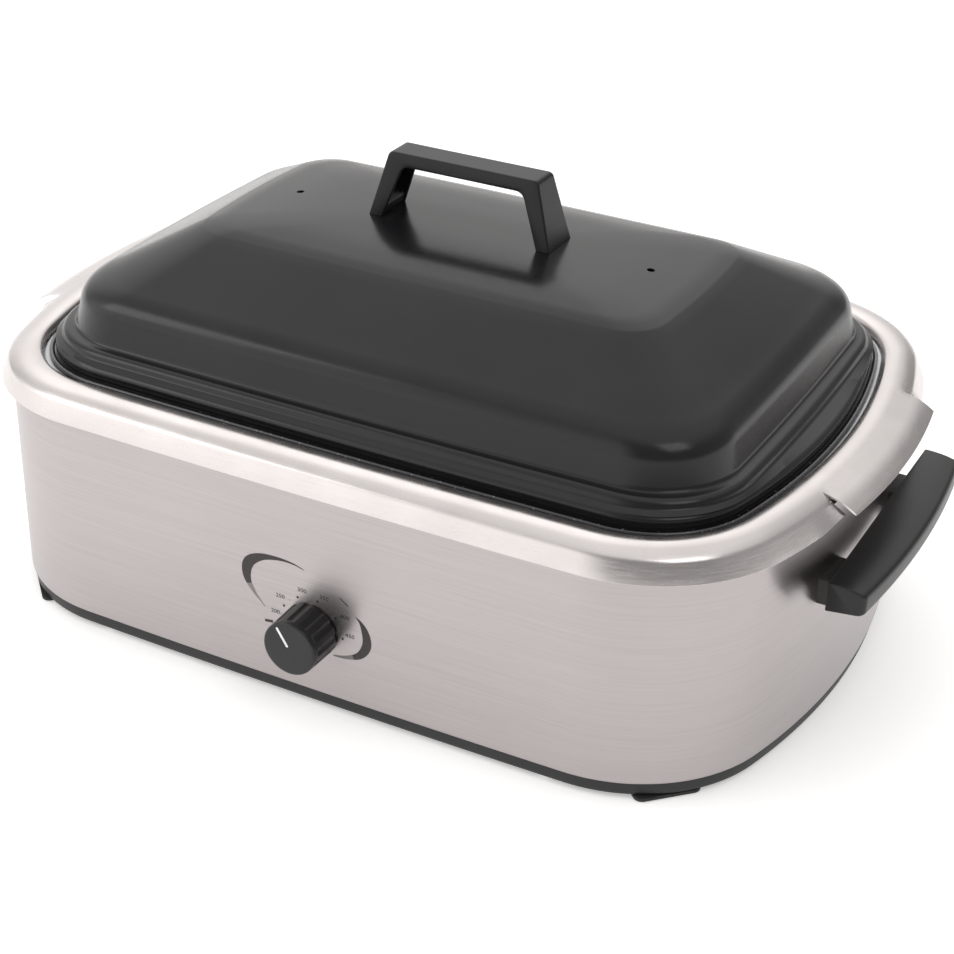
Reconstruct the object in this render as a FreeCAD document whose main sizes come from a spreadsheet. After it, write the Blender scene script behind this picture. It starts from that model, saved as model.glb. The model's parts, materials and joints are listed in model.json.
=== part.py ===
import FreeCAD, Part
import os, math
from FreeCAD import Vector as V

# Electric roaster oven, free standing, about 17 litres.
# Frame: +X right, -Y front (dial side), +Z up, origin on the floor under the middle of the body. Millimetres.

os.makedirs("parts", exist_ok=True)
doc = FreeCAD.newDocument("roaster_oven")
sheet = doc.addObject("Spreadsheet::Sheet", "dims")

DIMS = [
    # plan curves are closed ovals of tangent arcs: half_x, half_y, corner radius, bowed end radius, bowed front radius
    ("shell_half_x", 267.5, "outer wrap, half length"),
    ("shell_foot_half_y", 187.5, "outer wrap, half depth at its foot"),
    ("shell_head_half_y", 191.5, "outer wrap, half depth at its head"),
    ("shell_corner_rad", 93.5, "outer wrap, corner radius at its foot"),
    ("shell_end_rad", 435.0, "bow of the ends"),
    ("front_bow_rad", 8000.0, "bow of the front and back"),
    ("shell_foot_z", 11.2, "lower edge of the wrap"),
    ("shell_head_z", 150.0, "upper edge of the wrap, inside the collar"),
    ("sheet_wall", 0.8, "steel sheet of wrap and well"),
    ("collar_wall", 1.0, "steel sheet of the collar"),
    ("collar_skirt_z", 145.0, "lower edge of the collar skirt"),
    ("collar_skirt_half_x", 277.0, "collar skirt lower edge, half length"),
    ("collar_skirt_half_y", 194.2, "collar skirt lower edge, half depth"),
    ("collar_crest_z", 157.0, "crease between skirt and crown"),
    ("collar_crest_half_x", 270.0, "crease, half length"),
    ("collar_crest_half_y", 190.4, "crease, half depth"),
    ("collar_top_z", 162.8, "top of the crown"),
    ("collar_inner_half_x", 248.8, "inner edge of the crown, half length"),
    ("collar_inner_half_y", 169.7, "inner edge of the crown, half depth"),
    ("collar_inner_corner", 71.3, "inner edge corner radius"),
    ("collar_inner_end_rad", 455.0, "inner edge end bow"),
    ("ear_half_y", 71.0, "half width of the ledge over each side handle"),
    ("ear_half_x", 284.5, "reach of the ledge"),
    ("ear_tip_z", 152.2, "height of the ledge tip"),
    ("well_half_x", 240.0, "heating well outside, half length"),
    ("well_half_y", 160.0, "heating well outside, half depth"),
    ("well_corner_rad", 64.0, "heating well corner radius"),
    ("well_floor_z", 22.0, "underside of the heating well"),
    ("well_rim_z", 156.0, "top of the heating well flange"),
    ("pan_half_x", 234.0, "cookwell outside at the top, half length"),
    ("pan_half_y", 154.0, "cookwell outside at the top, half depth"),
    ("pan_corner_rad", 60.0, "cookwell corner radius at the top"),
    ("pan_floor_z", 26.6, "underside of the cookwell"),
    ("pan_rim_z", 156.3, "underside of the cookwell flange"),
    ("pan_rim_half_x", 244.7, "cookwell flange, half length"),
    ("pan_rim_half_y", 163.8, "cookwell flange, half depth"),
    ("pan_wall", 1.2, "enamelled sheet"),
    ("base_half_x", 265.8, "base pan, half length"),
    ("base_half_y", 185.8, "base pan, half depth"),
    ("base_corner_rad", 91.8, "base pan corner radius"),
    ("base_end_rad", 433.0, "base pan end bow"),
    ("base_floor_z", 2.5, "underside of the base pan"),
    ("base_wall", 2.2, "base pan wall and floor"),
    ("foot_length", 40.0, "foot pad length"),
    ("foot_width", 15.0, "foot pad width"),
    ("foot_at_x", 214.0, "foot pad centre"),
    ("foot_at_y", 158.0, "foot pad centre"),
    ("base_screw_x", 150.0, "base screw position"),
    ("base_screw_y", 177.5, "base screw position"),
    ("screw_rad", 2.0, "shank radius of the large screws"),
    ("small_screw_rad", 1.6, "shank radius of the small screws"),
    ("bore_slack", 0.06, "radial slack of a screw in its hole"),
    ("tie_x", 120.0, "tie screw position"),
    ("tie_y", 70.0, "tie screw position"),
    ("shield_z", 13.6, "underside of the heat shield"),
    ("shield_wall", 0.6, "heat shield sheet"),
    ("band_foot_z", 46.0, "lower edge of the heating band"),
    ("band_height", 22.0, "heating band height"),
    ("band_wall", 2.0, "heating band thickness"),
    ("blanket_foot_z", 32.0, "lower edge of the insulation"),
    ("blanket_head_z", 148.0, "upper edge of the insulation"),
    ("blanket_wall", 14.0, "insulation thickness"),
    ("dial_x", 2.6, "dial axis"),
    ("dial_z", 54.9, "dial axis height"),
    ("knob_rear_y", 189.5, "distance of the knob's rear edge from the middle plane"),
    ("knob_face_y", 213.3, "distance of the knob's face from the middle plane"),
    ("knob_rad", 17.4, "knob radius"),
    ("knob_face_rad", 16.9, "knob radius at its face"),
    ("flute_rad", 4.4, "radius of a flute in the knob's side"),
    ("flute_deep", 1.0, "depth of a flute"),
    ("knob_rest_deg", 33.0, "pointer's lean to the left at rest, in degrees"),
    ("spindle_rad", 3.0, "control spindle radius"),
    ("spindle_bore_rad", 3.05, "bore of the thermostat bush"),
    ("grip_inner_x", 272.5, "inner face of a side grip"),
    ("grip_outer_x", 300.8, "outermost point of a side grip"),
    ("grip_half_y", 89.0, "half length of a side grip"),
    ("grip_bow_rad", 640.0, "bow of the outer face"),
    ("grip_foot_z", 98.6, "underside of a side grip at its inner face"),
    ("grip_head_z", 117.0, "top of a side grip at its inner face"),
    ("grip_slope", 3.4, "fall of the top and rise of the underside across the grip"),
    ("bracket_near_y", 42.0, "near side of a handle bracket"),
    ("bracket_far_y", 70.0, "far side of a handle bracket"),
    ("bracket_foot_z", 89.0, "underside of a handle bracket"),
    ("bracket_head_z", 107.0, "top of a handle bracket"),
    ("grip_screw_z", 103.0, "height of the handle screws"),
    ("lid_crease_half_x", 155.5, "crease of the lid's top panel, half length"),
    ("lid_crease_half_y", 77.0, "crease of the lid's top panel, half depth"),
    ("lid_crease_z", 230.0, "height of the crease"),
    ("lid_panel_z", 237.9, "height of the panel's crown"),
    ("lid_shoulder_half_x", 211.5, "shoulder, half length"),
    ("lid_shoulder_half_y", 137.3, "shoulder, half depth"),
    ("lid_shoulder_z", 198.4, "shoulder height"),
    ("lid_wall_half_x", 218.4, "upright wall, half length"),
    ("lid_wall_half_y", 144.0, "upright wall, half depth"),
    ("lid_bead_half_x", 227.0, "raised bead, half length"),
    ("lid_bead_half_y", 152.0, "raised bead, half depth"),
    ("lid_flange_half_x", 240.7, "lid flange, half length"),
    ("lid_flange_half_y", 159.2, "lid flange, half depth"),
    ("lid_wall_thick", 0.9, "lid sheet"),
    ("lid_edge_z", 157.8, "lower edge of the lid flange"),
    ("vent_x", 120.4, "steam vent position"),
    ("vent_rad", 2.4, "steam vent radius"),
    ("bail_top_z", 279.0, "top of the lid handle"),
    ("bail_foot_z", 237.95, "seat of the lid handle"),
    ("bail_top_half_x", 50.0, "lid handle half length at the top"),
    ("bail_foot_half_x", 61.5, "lid handle half length at the foot"),
    ("bail_top_half_y", 10.4, "lid handle half width at the top"),
    ("bail_foot_half_y", 15.0, "lid handle half width at the foot"),
    ("bail_bar_thick", 8.0, "lid handle bar thickness"),
    ("bail_leg_thick", 9.0, "lid handle leg thickness"),
    ("bail_screw_x", 55.0, "lid handle screw position"),
    ("rack_half_x", 194.0, "rack frame centre line, half length"),
    ("rack_half_y", 112.0, "rack frame centre line, half depth"),
    ("rack_corner_rad", 42.0, "rack frame corner radius"),
    ("rack_wire_rad", 2.5, "rack frame wire radius"),
    ("rack_rod_rad", 1.5, "rack rod radius"),
    ("rack_frame_z", 33.0, "rack frame centre height"),
    ("gland_x", -150.0, "cord bush position"),
    ("gland_z", 23.0, "cord bush height"),
    ("gland_bore_rad", 3.6, "cord bush bore"),
    ("lead_rad", 1.4, "internal lead radius"),
]
for i, (alias, val, note) in enumerate(DIMS, 1):
    sheet.set("A%d" % i, alias)
    sheet.set("B%d" % i, str(val))
    sheet.setAlias("B%d" % i, alias)
    sheet.set("C%d" % i, note)
doc.recompute()


class Q:
    # a size with its number and its formula, so that a drawing starts solved and stays bound to the sheet
    def __init__(self, v, t):
        self.v = v
        self.t = t

    def __add__(self, o):
        o = q(o)
        return Q(self.v + o.v, "(%s + %s)" % (self.t, o.t))

    def __sub__(self, o):
        o = q(o)
        return Q(self.v - o.v, "(%s - %s)" % (self.t, o.t))

    def __mul__(self, o):
        o = q(o)
        return Q(self.v * o.v, "(%s * %s)" % (self.t, o.t))

    def __neg__(self):
        return Q(-self.v, "(0 - %s)" % self.t)


def q(x):
    return x if isinstance(x, Q) else Q(float(x), "%.6f" % float(x))


def D(alias):
    return Q(float(sheet.get(alias)), "dims." + alias)


def n(alias):
    return float(sheet.get(alias))


# ---------------------------------------------------------------- plan curves

def oval_points(a, b, rc, re, rf):
    # tangent arcs: front centre (0,-b+rf), end centre (a-re,0), corner centre where both distances fit
    fx, fy = 0.0, -b + rf
    ex, ey = a - re, 0.0
    r1, r2 = rf - rc, re - rc
    dx, dy = ex - fx, ey - fy
    dd = math.hypot(dx, dy)
    t = (dd * dd + r1 * r1 - r2 * r2) / (2 * dd)
    h2 = math.sqrt(max(r1 * r1 - t * t, 1e-12))
    ux, uy = dx / dd, dy / dd
    c = [(fx + ux * t - uy * h2, fy + uy * t + ux * h2), (fx + ux * t + uy * h2, fy + uy * t - ux * h2)]
    cx, cy = min((p for p in c if p[0] > 0), key=lambda p: p[1])
    af = math.atan2(cy - fy, cx - fx)
    ae = math.atan2(cy - ey, cx - ex)
    j1 = (fx + rf * math.cos(af), fy + rf * math.sin(af))
    j2 = (ex + re * math.cos(ae), ey + re * math.sin(ae))
    am = (af + ae) / 2
    mid = (cx + rc * math.cos(am), cy + rc * math.sin(am))
    return (cx, cy), j1, j2, mid, af, ae


def oval_edges(a, b, rc, re, rf, z):
    c, j1, j2, m, af, ae = oval_points(a, b, rc, re, rf)

    def p(x, y):
        return V(x, y, z)
    pts = [
        ((-j1[0], j1[1]), (0, -b), j1),
        (j1, m, j2),
        (j2, (a, 0), (j2[0], -j2[1])),
        ((j2[0], -j2[1]), (m[0], -m[1]), (j1[0], -j1[1])),
        ((j1[0], -j1[1]), (0, b), (-j1[0], -j1[1])),
        ((-j1[0], -j1[1]), (-m[0], -m[1]), (-j2[0], -j2[1])),
        ((-j2[0], -j2[1]), (-a, 0), (-j2[0], j2[1])),
        ((-j2[0], j2[1]), (-m[0], m[1]), (-j1[0], j1[1])),
    ]
    return [Part.Arc(p(*s), p(*k), p(*e)).toShape() for s, k, e in pts]


def oval_wire(a, b, rc, re, rf, z):
    return Part.Wire(oval_edges(a, b, rc, re, rf, z))


def prism(a, b, rc, re, rf, z0, z1):
    return Part.Face(oval_wire(a, b, rc, re, rf, z0)).extrude(V(0, 0, z1 - z0))


def section_solid(levels, ring):
    # levels follow the outline of the sheet's section; each is (a, b, rc, re, rf, z)
    faces = []
    wires = [oval_edges(*lv) for lv in levels]
    pairs = list(zip(wires[:-1], wires[1:]))
    if ring:
        pairs.append((wires[-1], wires[0]))
    else:
        faces += [Part.Face(Part.Wire(wires[0])), Part.Face(Part.Wire(wires[-1]))]
    for w0, w1 in pairs:
        faces += [Part.makeRuledSurface(e0, e1) for e0, e1 in zip(w0, w1)]
    sewn = Part.makeCompound(faces)
    sewn.sewShape(1e-4)
    s = Part.Solid(Part.Shell(sewn.Faces))
    if s.Volume < 0:
        s.reverse()
    return s


def inset(lv, t, dz=0.0):
    a, b, rc, re, rf, z = lv
    return (a - t, b - t, rc - t, re - t, rf - t, z + dz)


def cyl(r, p, axis, length):
    return Part.makeCylinder(r, length, V(*p), V(*axis))


def feature(label, shape):
    o = doc.addObject("Part::Feature", label)
    o.Label = label
    o.Shape = shape
    o.Placement = FreeCAD.Placement()
    NODES.append(o)
    return o


# ---------------------------------------------------------------- sketch helpers

NODES = []


def new_body(label):
    b = doc.addObject("PartDesign::Body", label)
    b.Label = label
    NODES.append(b)
    return b


def origin_plane(b, role):
    for f in b.Origin.OriginFeatures:
        if f.Role == role:
            return f
    raise RuntimeError("no plane " + role)


def new_sketch(b, role, name, off=None):
    s = b.newObject("Sketcher::SketchObject", name)
    s.AttachmentSupport = [(origin_plane(b, role), "")]
    s.MapMode = "FlatFace"
    if off is not None:
        off = q(off)
        s.AttachmentOffset = FreeCAD.Placement(V(0, 0, off.v), FreeCAD.Rotation())
        s.setExpression("AttachmentOffset.Base.z", off.t)
    return s


import Sketcher


def bind(s, kind, args, val, name):
    val = q(val)
    i = s.addConstraint(Sketcher.Constraint(kind, *args, val.v))
    s.renameConstraint(i, name)
    s.setExpression("Constraints." + name, val.t)
    return i


def add_poly(s, pts, tag="p"):
    pts = [(q(x), q(y)) for x, y in pts]
    g0 = s.GeometryCount
    k = len(pts)
    for i in range(k):
        x0, y0 = pts[i]
        x1, y1 = pts[(i + 1) % k]
        s.addGeometry(Part.LineSegment(V(x0.v, y0.v, 0), V(x1.v, y1.v, 0)), False)
    for i in range(k):
        s.addConstraint(Sketcher.Constraint("Coincident", g0 + i, 2, g0 + (i + 1) % k, 1))
    for i in range(k):
        bind(s, "DistanceX", (g0 + i, 1), pts[i][0], "%sx%d" % (tag, i))
        bind(s, "DistanceY", (g0 + i, 1), pts[i][1], "%sy%d" % (tag, i))


def add_circle(s, x, y, r, tag="c"):
    x, y, r = q(x), q(y), q(r)
    g = s.addGeometry(Part.Circle(V(x.v, y.v, 0), V(0, 0, 1), r.v), False)
    bind(s, "Radius", (g,), r, tag + "r")
    bind(s, "DistanceX", (g, 3), x, tag + "x")
    bind(s, "DistanceY", (g, 3), y, tag + "y")


def add_oval(s, a, b, rc, re, rf, tag="o"):
    a, b, rc, re, rf = q(a), q(b), q(rc), q(re), q(rf)
    c, j1, j2, m, af, ae = oval_points(a.v, b.v, rc.v, re.v, rf.v)
    pi = math.pi
    arcs = [
        ((0, -b.v + rf.v), rf.v, -pi - af, af),
        (c, rc.v, af, ae),
        ((a.v - re.v, 0), re.v, ae, -ae),
        ((c[0], -c[1]), rc.v, -ae, -af),
        ((0, b.v - rf.v), rf.v, -af, pi + af),
        ((-c[0], -c[1]), rc.v, pi + af, pi + ae),
        ((-a.v + re.v, 0), re.v, pi + ae, pi - ae),
        ((-c[0], c[1]), rc.v, pi - ae, pi - af),
    ]
    g0 = s.GeometryCount
    for (x, y), r, t0, t1 in arcs:
        while t1 < t0:
            t1 += 2 * pi
        s.addGeometry(Part.ArcOfCircle(Part.Circle(V(x, y, 0), V(0, 0, 1), r), t0, t1), False)
    for i in range(8):
        s.addConstraint(Sketcher.Constraint("Tangent", g0 + i, 2, g0 + (i + 1) % 8, 1))
    s.addConstraint(Sketcher.Constraint("PointOnObject", g0 + 0, 3, -2))
    s.addConstraint(Sketcher.Constraint("PointOnObject", g0 + 4, 3, -2))
    s.addConstraint(Sketcher.Constraint("PointOnObject", g0 + 2, 3, -1))
    s.addConstraint(Sketcher.Constraint("PointOnObject", g0 + 6, 3, -1))
    for i, r in enumerate([rf, rc, re, rc, rf, rc, re, rc]):
        bind(s, "Radius", (g0 + i,), r, "%sr%d" % (tag, i))
    bind(s, "DistanceY", (g0 + 0, 3), rf - b, tag + "front")
    bind(s, "DistanceY", (g0 + 4, 3), b - rf, tag + "back")
    bind(s, "DistanceX", (g0 + 2, 3), a - re, tag + "right")
    bind(s, "DistanceX", (g0 + 6, 3), re - a, tag + "left")


def pad(b, s, length, rev=False):
    p = b.newObject("PartDesign::Pad", s.Name + "_pad")
    p.Profile = s
    length = q(length)
    p.Length = length.v
    p.setExpression("Length", length.t)
    p.Reversed = rev
    doc.recompute()
    return p


def pocket(b, s, length, rev=False, through=False):
    v0 = b.Shape.Volume
    p = b.newObject("PartDesign::Pocket", s.Name + "_cut")
    p.Profile = s
    if through:
        p.Type = 1
    else:
        length = q(length)
        p.Length = length.v
        p.setExpression("Length", length.t)
    p.Reversed = rev
    doc.recompute()
    if not b.Shape.Volume < v0 - 1e-3:
        raise RuntimeError("pocket cuts nothing: " + s.Name)
    return p


def revolve(b, s, axis):
    r = b.newObject("PartDesign::Revolution", s.Name + "_turn")
    r.Profile = s
    r.ReferenceAxis = (s, [axis])
    r.Angle = 360.0
    doc.recompute()
    return r


def prim(kind, name, place, **sizes):
    # a primitive with its sizes bound to the sheet
    o = doc.addObject(kind, name)
    for k, v in sizes.items():
        v = q(v)
        setattr(o, k, v.v)
        o.setExpression(k, v.t)
    o.Placement = place
    return o


def move_to(o, x, y, z):
    for k, v in (("x", q(x)), ("y", q(y)), ("z", q(z))):
        o.setExpression("Placement.Base." + k, v.t)


ROT = {
    "+Z": FreeCAD.Rotation(),
    "-Z": FreeCAD.Rotation(V(1, 0, 0), 180),
    "+X": FreeCAD.Rotation(V(0, 1, 0), 90),
    "-X": FreeCAD.Rotation(V(0, 1, 0), -90),
    "+Y": FreeCAD.Rotation(V(1, 0, 0), -90),
    "-Y": FreeCAD.Rotation(V(1, 0, 0), 90),
}


def screws(label, places, axis, rad, length, head_rad, head_high):
    # pan-head screws: the shank runs from the seat of the head along axis, the head stands the other way
    back = {"+": "-", "-": "+"}[axis[0]] + axis[1]
    parts = []
    for i, (x, y, z) in enumerate(places):
        a = prim("Part::Cylinder", "%s_shank%d" % (label, i), FreeCAD.Placement(V(0, 0, 0), ROT[axis]), Radius=rad, Height=length)
        move_to(a, x, y, z)
        h = prim("Part::Cylinder", "%s_head%d" % (label, i), FreeCAD.Placement(V(0, 0, 0), ROT[back]), Radius=head_rad, Height=head_high)
        move_to(h, x, y, z)
        f = doc.addObject("Part::Fuse", "%s_one%d" % (label, i))
        f.Base = a
        f.Tool = h
        parts.append(f)
    c = doc.addObject("Part::Compound", label)
    c.Label = label
    c.Links = parts
    NODES.append(c)
    return c


def sleeves(label, places, r_out, r_in, high, sides=0):
    # spacers, washers and nuts standing on +Z
    parts = []
    for i, (x, y, z) in enumerate(places):
        if sides:
            a = prim("Part::Prism", "%s_body%d" % (label, i), FreeCAD.Placement(), Circumradius=r_out, Height=high)
            a.Polygon = sides
        else:
            a = prim("Part::Cylinder", "%s_body%d" % (label, i), FreeCAD.Placement(), Radius=r_out, Height=high)
        move_to(a, x, y, z)
        h = prim("Part::Cylinder", "%s_bore%d" % (label, i), FreeCAD.Placement(), Radius=r_in, Height=q(high) + 2)
        move_to(h, x, y, q(z) - 1)
        f = doc.addObject("Part::Cut", "%s_one%d" % (label, i))
        f.Base = a
        f.Tool = h
        parts.append(f)
    c = doc.addObject("Part::Compound", label)
    c.Label = label
    c.Links = parts
    NODES.append(c)
    return c


SIGNS = ((1, 1), (1, -1), (-1, 1), (-1, -1))
RF = n("front_bow_rad")

# ---------------------------------------------------------------- outer shell
ax, re_s = n("shell_half_x"), n("shell_end_rad")
b0, b1, rc0 = n("shell_foot_half_y"), n("shell_head_half_y"), n("shell_corner_rad")
zs0, zs1, ts = n("shell_foot_z"), n("shell_head_z"), n("sheet_wall")
foot = (ax, b0, rc0, re_s, RF, zs0)
head = (ax, b1, rc0 + 1.0, re_s, RF, zs1)
shell_block = section_solid([foot, head], False)


def shell_half_y(z):
    return b0 + (b1 - b0) * (z - zs0) / (zs1 - zs0)


shell = section_solid([
    inset(foot, 13.0), foot, head, inset(head, ts), inset(foot, ts, ts), inset(foot, 13.0, ts)], True)
kx, kz = n("dial_x"), n("dial_z")
sr, slack = n("screw_rad"), n("bore_slack")
ssr = n("small_screw_rad")
shell = shell.cut(cyl(4.2, (kx, -180, kz), (0, -1, 0), 20))
for sx in (-1, 1):
    shell = shell.cut(cyl(ssr + slack, (kx + 11 * sx, -180, kz), (0, -1, 0), 20))
    for sy in (-1, 1):
        shell = shell.cut(cyl(sr + slack, (sx * 250, sy * 56.0, n("grip_screw_z")), (sx, 0, 0), 30))
        shell = shell.cut(cyl(sr + slack, (sx * n("base_screw_x"), sy * n("base_screw_y"), zs0 - 2), (0, 0, 1), 5))
shell = shell.cut(cyl(7.0, (n("gland_x"), 175, n("gland_z")), (0, 1, 0), 20))
feature("outer_shell", shell)

# ---------------------------------------------------------------- rim collar with its two ledges
tc = n("collar_wall")
sk = (n("collar_skirt_half_x"), n("collar_skirt_half_y"), 96.0, 400.0, RF, n("collar_skirt_z"))
cr = (n("collar_crest_half_x"), n("collar_crest_half_y"), 90.5, 420.0, RF, n("collar_crest_z"))
c2 = (264.5, 185.6, 86.0, 430.0, RF, 160.8)
c3 = (257.5, 178.5, 79.5, 445.0, RF, n("collar_top_z"))
c4 = (251.6, 172.5, 73.8, 452.0, RF, 162.4)
ci = (n("collar_inner_half_x"), n("collar_inner_half_y"), n("collar_inner_corner"), n("collar_inner_end_rad"), RF, 161.0)
c6 = (247.2, 168.1, 69.8, 453.0, RF, 158.2)
c7 = (246.3, 167.2, 68.9, 452.0, RF, 156.3)
collar = section_solid([
    sk, cr, c2, c3, c4, ci, c6, c7,
    inset(c7, -tc), inset(c6, -tc), inset(ci, -tc, -0.5), inset(c4, -0.4, -tc), inset(c3, 0.0, -tc),
    inset(c2, 0.5, -tc), inset(cr, tc, -0.5), inset(sk, tc)], True)
exr = n("ear_half_x")
e0 = (265.6, 186.7, 86.0, 428.0, RF, 160.5)
e1 = (276.5, 190.0, 90.0, 440.0, RF, 157.6)
e2 = (exr - 1.5, 198.0, 98.0, 470.0, RF, n("ear_tip_z") + 1.3)
e3 = (exr, 199.5, 99.0, 470.0, RF, n("ear_tip_z"))
ledge_ring = section_solid([
    e0, e1, e2, e3, inset(e3, 1.0, -0.2), inset(e2, 0.8, -0.9), inset(e1, 0.4, -tc), inset(e0, 0.2, -tc)], True)
ey = n("ear_half_y")
keep = Part.makeBox(60, 2 * ey, 30, V(255, -ey, 140)).fuse(Part.makeBox(60, 2 * ey, 30, V(-315, -ey, 140)))
ledges = ledge_ring.common(keep)
for sx in (-1, 1):
    collar = collar.cut(Part.makeBox(26, 2 * ey, 12.2, V(266 if sx > 0 else -292, -ey, 143)))
collar = collar.fuse(ledges)
feature("rim_collar", collar)

# ---------------------------------------------------------------- heating well (inner liner)
wa, wb, wr = n("well_half_x"), n("well_half_y"), n("well_corner_rad")
wz0, wz1 = n("well_floor_z"), n("well_rim_z")
WE = 449.0
wl = [
    (wa - 14, wb - 14, wr - 14, WE - 14, RF, wz0),
    (wa - 4, wb - 4, wr - 4, WE - 4, RF, wz0 + 4),
    (wa, wb, wr, WE, RF, wz0 + 14),
    (wa, wb, wr, WE, RF, wz1 - ts),
    (wa + 21, wb + 23, wr + 20, WE + 10, RF, wz1 - ts),
    (wa + 21, wb + 23, wr + 20, WE + 10, RF, wz1),
    (wa - ts, wb - ts, wr - ts, WE - ts, RF, wz1),
    (wa - ts, wb - ts, wr - ts, WE - ts, RF, wz0 + 14),
    (wa - 4 - ts * 0.7, wb - 4 - ts * 0.7, wr - 4, WE - 4, RF, wz0 + 4 + ts * 0.7),
    (wa - 14, wb - 14, wr - 14, WE - 14, RF, wz0 + ts),
]
well = section_solid(wl, False)
tx, ty = n("tie_x"), n("tie_y")
for sx, sy in SIGNS:
    well = well.cut(cyl(sr + slack, (sx * tx, sy * ty, wz0 - 2), (0, 0, 1), 6))
feature("heating_well", well)

# ---------------------------------------------------------------- cookwell (lift-out enamelled pan)
pa, pb, pr = n("pan_half_x"), n("pan_half_y"), n("pan_corner_rad")
pz0, pz1, pt = n("pan_floor_z"), n("pan_rim_z"), n("pan_wall")
fa, fb = n("pan_rim_half_x"), n("pan_rim_half_y")
PE = 443.0
FR = (fa, fb, 67.5, 449.0, RF, 0.0)


def at(lv, z, t=0.0):
    return (lv[0] - t, lv[1] - t, lv[2] - t, lv[3] - t, lv[4] - t, z)


pl = [
    (pa - 24, pb - 24, pr - 20, PE - 20, RF, pz0),
    (pa - 13, pb - 13, pr - 10, PE - 10, RF, pz0 + 5.0),
    (pa - 7, pb - 7, pr - 6, PE - 6, RF, pz0 + 17.0),
    (pa, pb, pr, PE, RF, pz1 - 3.5),
    (pa + 1.2, pb + 1.2, pr + 1, PE + 1, RF, pz1),
    at(FR, pz1, 0.6),
    at(FR, pz1 + 0.6),
    at(FR, pz1 + 1.6),
    at(FR, pz1 + 2.4, 0.9),
    at(FR, pz1 + 2.4, 1.9),
    at(FR, pz1 + 1.2, 3.2),
    (pa + 1.2 - pt, pb + 1.2 - pt, pr, PE, RF, pz1 + pt),
    (pa - pt, pb - pt, pr - pt, PE, RF, pz1 - 3.5),
    (pa - 7 - pt, pb - 7 - pt, pr - 6 - pt, PE - 6, RF, pz0 + 17.0),
    (pa - 13 - pt * 0.8, pb - 13 - pt * 0.8, pr - 10 - pt, PE - 10, RF, pz0 + 5.0 + pt * 0.6),
    (pa - 24, pb - 24, pr - 20, PE - 20, RF, pz0 + pt),
]
feature("cookwell_pan", section_solid(pl, False))

# ---------------------------------------------------------------- base pan
bz, bt = D("base_floor_z"), D("base_wall")
B = new_body("base_pan")
s = new_sketch(B, "XY_Plane", "base_outline", bz)
add_oval(s, D("base_half_x"), D("base_half_y"), D("base_corner_rad"), D("base_end_rad"), D("front_bow_rad"))
pad(B, s, D("shell_foot_z") - bz)
s = new_sketch(B, "XY_Plane", "base_hollow", D("shell_foot_z"))
add_oval(s, D("base_half_x") - bt, D("base_half_y") - bt, D("base_corner_rad") - bt, D("base_end_rad") - bt, D("front_bow_rad") - bt)
pocket(B, s, D("shell_foot_z") - bz - bt)
s = new_sketch(B, "XY_Plane", "base_bosses", bz + bt)
for i, (sx, sy) in enumerate(SIGNS):
    add_circle(s, D("base_screw_x") * sx, D("base_screw_y") * sy, 5.0, "k%d" % i)
pad(B, s, D("shell_foot_z") - bz - bt)
s = new_sketch(B, "XY_Plane", "base_holes", bz + 20)
for i, (sx, sy) in enumerate(SIGNS):
    add_circle(s, D("base_screw_x") * sx, D("base_screw_y") * sy, D("screw_rad") + D("bore_slack"), "k%d" % i)
    add_circle(s, D("tie_x") * sx, D("tie_y") * sy, D("screw_rad") + D("bore_slack"), "t%d" % i)
pocket(B, s, 1, through=True)

# ---------------------------------------------------------------- feet: four low wide pads under the corners
ft = []
for i, (sx, sy) in enumerate(SIGNS):
    o = prim("Part::Box", "foot_block%d" % i, FreeCAD.Placement(), Length=D("foot_length"), Width=D("foot_width"), Height=bz)
    ang = {(1, 1): 135, (1, -1): 45, (-1, 1): 45, (-1, -1): 135}[(sx, sy)]
    rot = FreeCAD.Rotation(V(0, 0, 1), ang)
    half = rot.multVec(V(n("foot_length") / 2, n("foot_width") / 2, 0))
    o.Placement = FreeCAD.Placement(V(0, 0, 0), rot)
    c45 = half.x / 1.0
    move_to(o, D("foot_at_x") * sx - c45, D("foot_at_y") * sy - half.y, 0)
    fl = doc.addObject("Part::Fillet", "foot_round%d" % i)
    fl.Base = o
    doc.recompute()
    up = [j + 1 for j, e in enumerate(o.Shape.Edges) if abs(e.Vertexes[0].Z - e.Vertexes[1].Z) > 1]
    fl.Edges = [(j, 5.0, 5.0) for j in up]
    ft.append(fl)
c = doc.addObject("Part::Compound", "base_feet")
c.Label = "base_feet"
c.Links = ft
NODES.append(c)

screws("base_screws", [(D("base_screw_x") * sx, D("base_screw_y") * sy, bz) for sx, sy in SIGNS], "+Z",
       D("screw_rad"), 12.0, 3.8, 1.9)

# ---------------------------------------------------------------- heat shield, tie screws, spacers and nuts
B = new_body("heat_shield")
s = new_sketch(B, "XY_Plane", "shield_outline", D("shield_z"))
add_oval(s, D("well_half_x") - 10, D("well_half_y") - 10, D("well_corner_rad") - 10, 439.0, D("front_bow_rad"))
for i, (sx, sy) in enumerate(SIGNS):
    add_circle(s, D("tie_x") * sx, D("tie_y") * sy, D("screw_rad") + D("bore_slack"), "t%d" % i)
pad(B, s, D("shield_wall"))
tie = [(D("tie_x") * sx, D("tie_y") * sy) for sx, sy in SIGNS]
screws("tie_screws", [(x, y, bz) for x, y in tie], "+Z", D("screw_rad"), D("well_floor_z") + 3.2 - bz, 3.8, 1.9)
sleeves("lower_spacers", [(x, y, bz + bt) for x, y in tie], 5.0, D("screw_rad") + D("bore_slack"), D("shield_z") - bz - bt)
sleeves("upper_spacers", [(x, y, D("shield_z") + D("shield_wall")) for x, y in tie], 5.0, D("screw_rad") + D("bore_slack"),
        D("well_floor_z") - D("shield_z") - D("shield_wall"))
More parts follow.
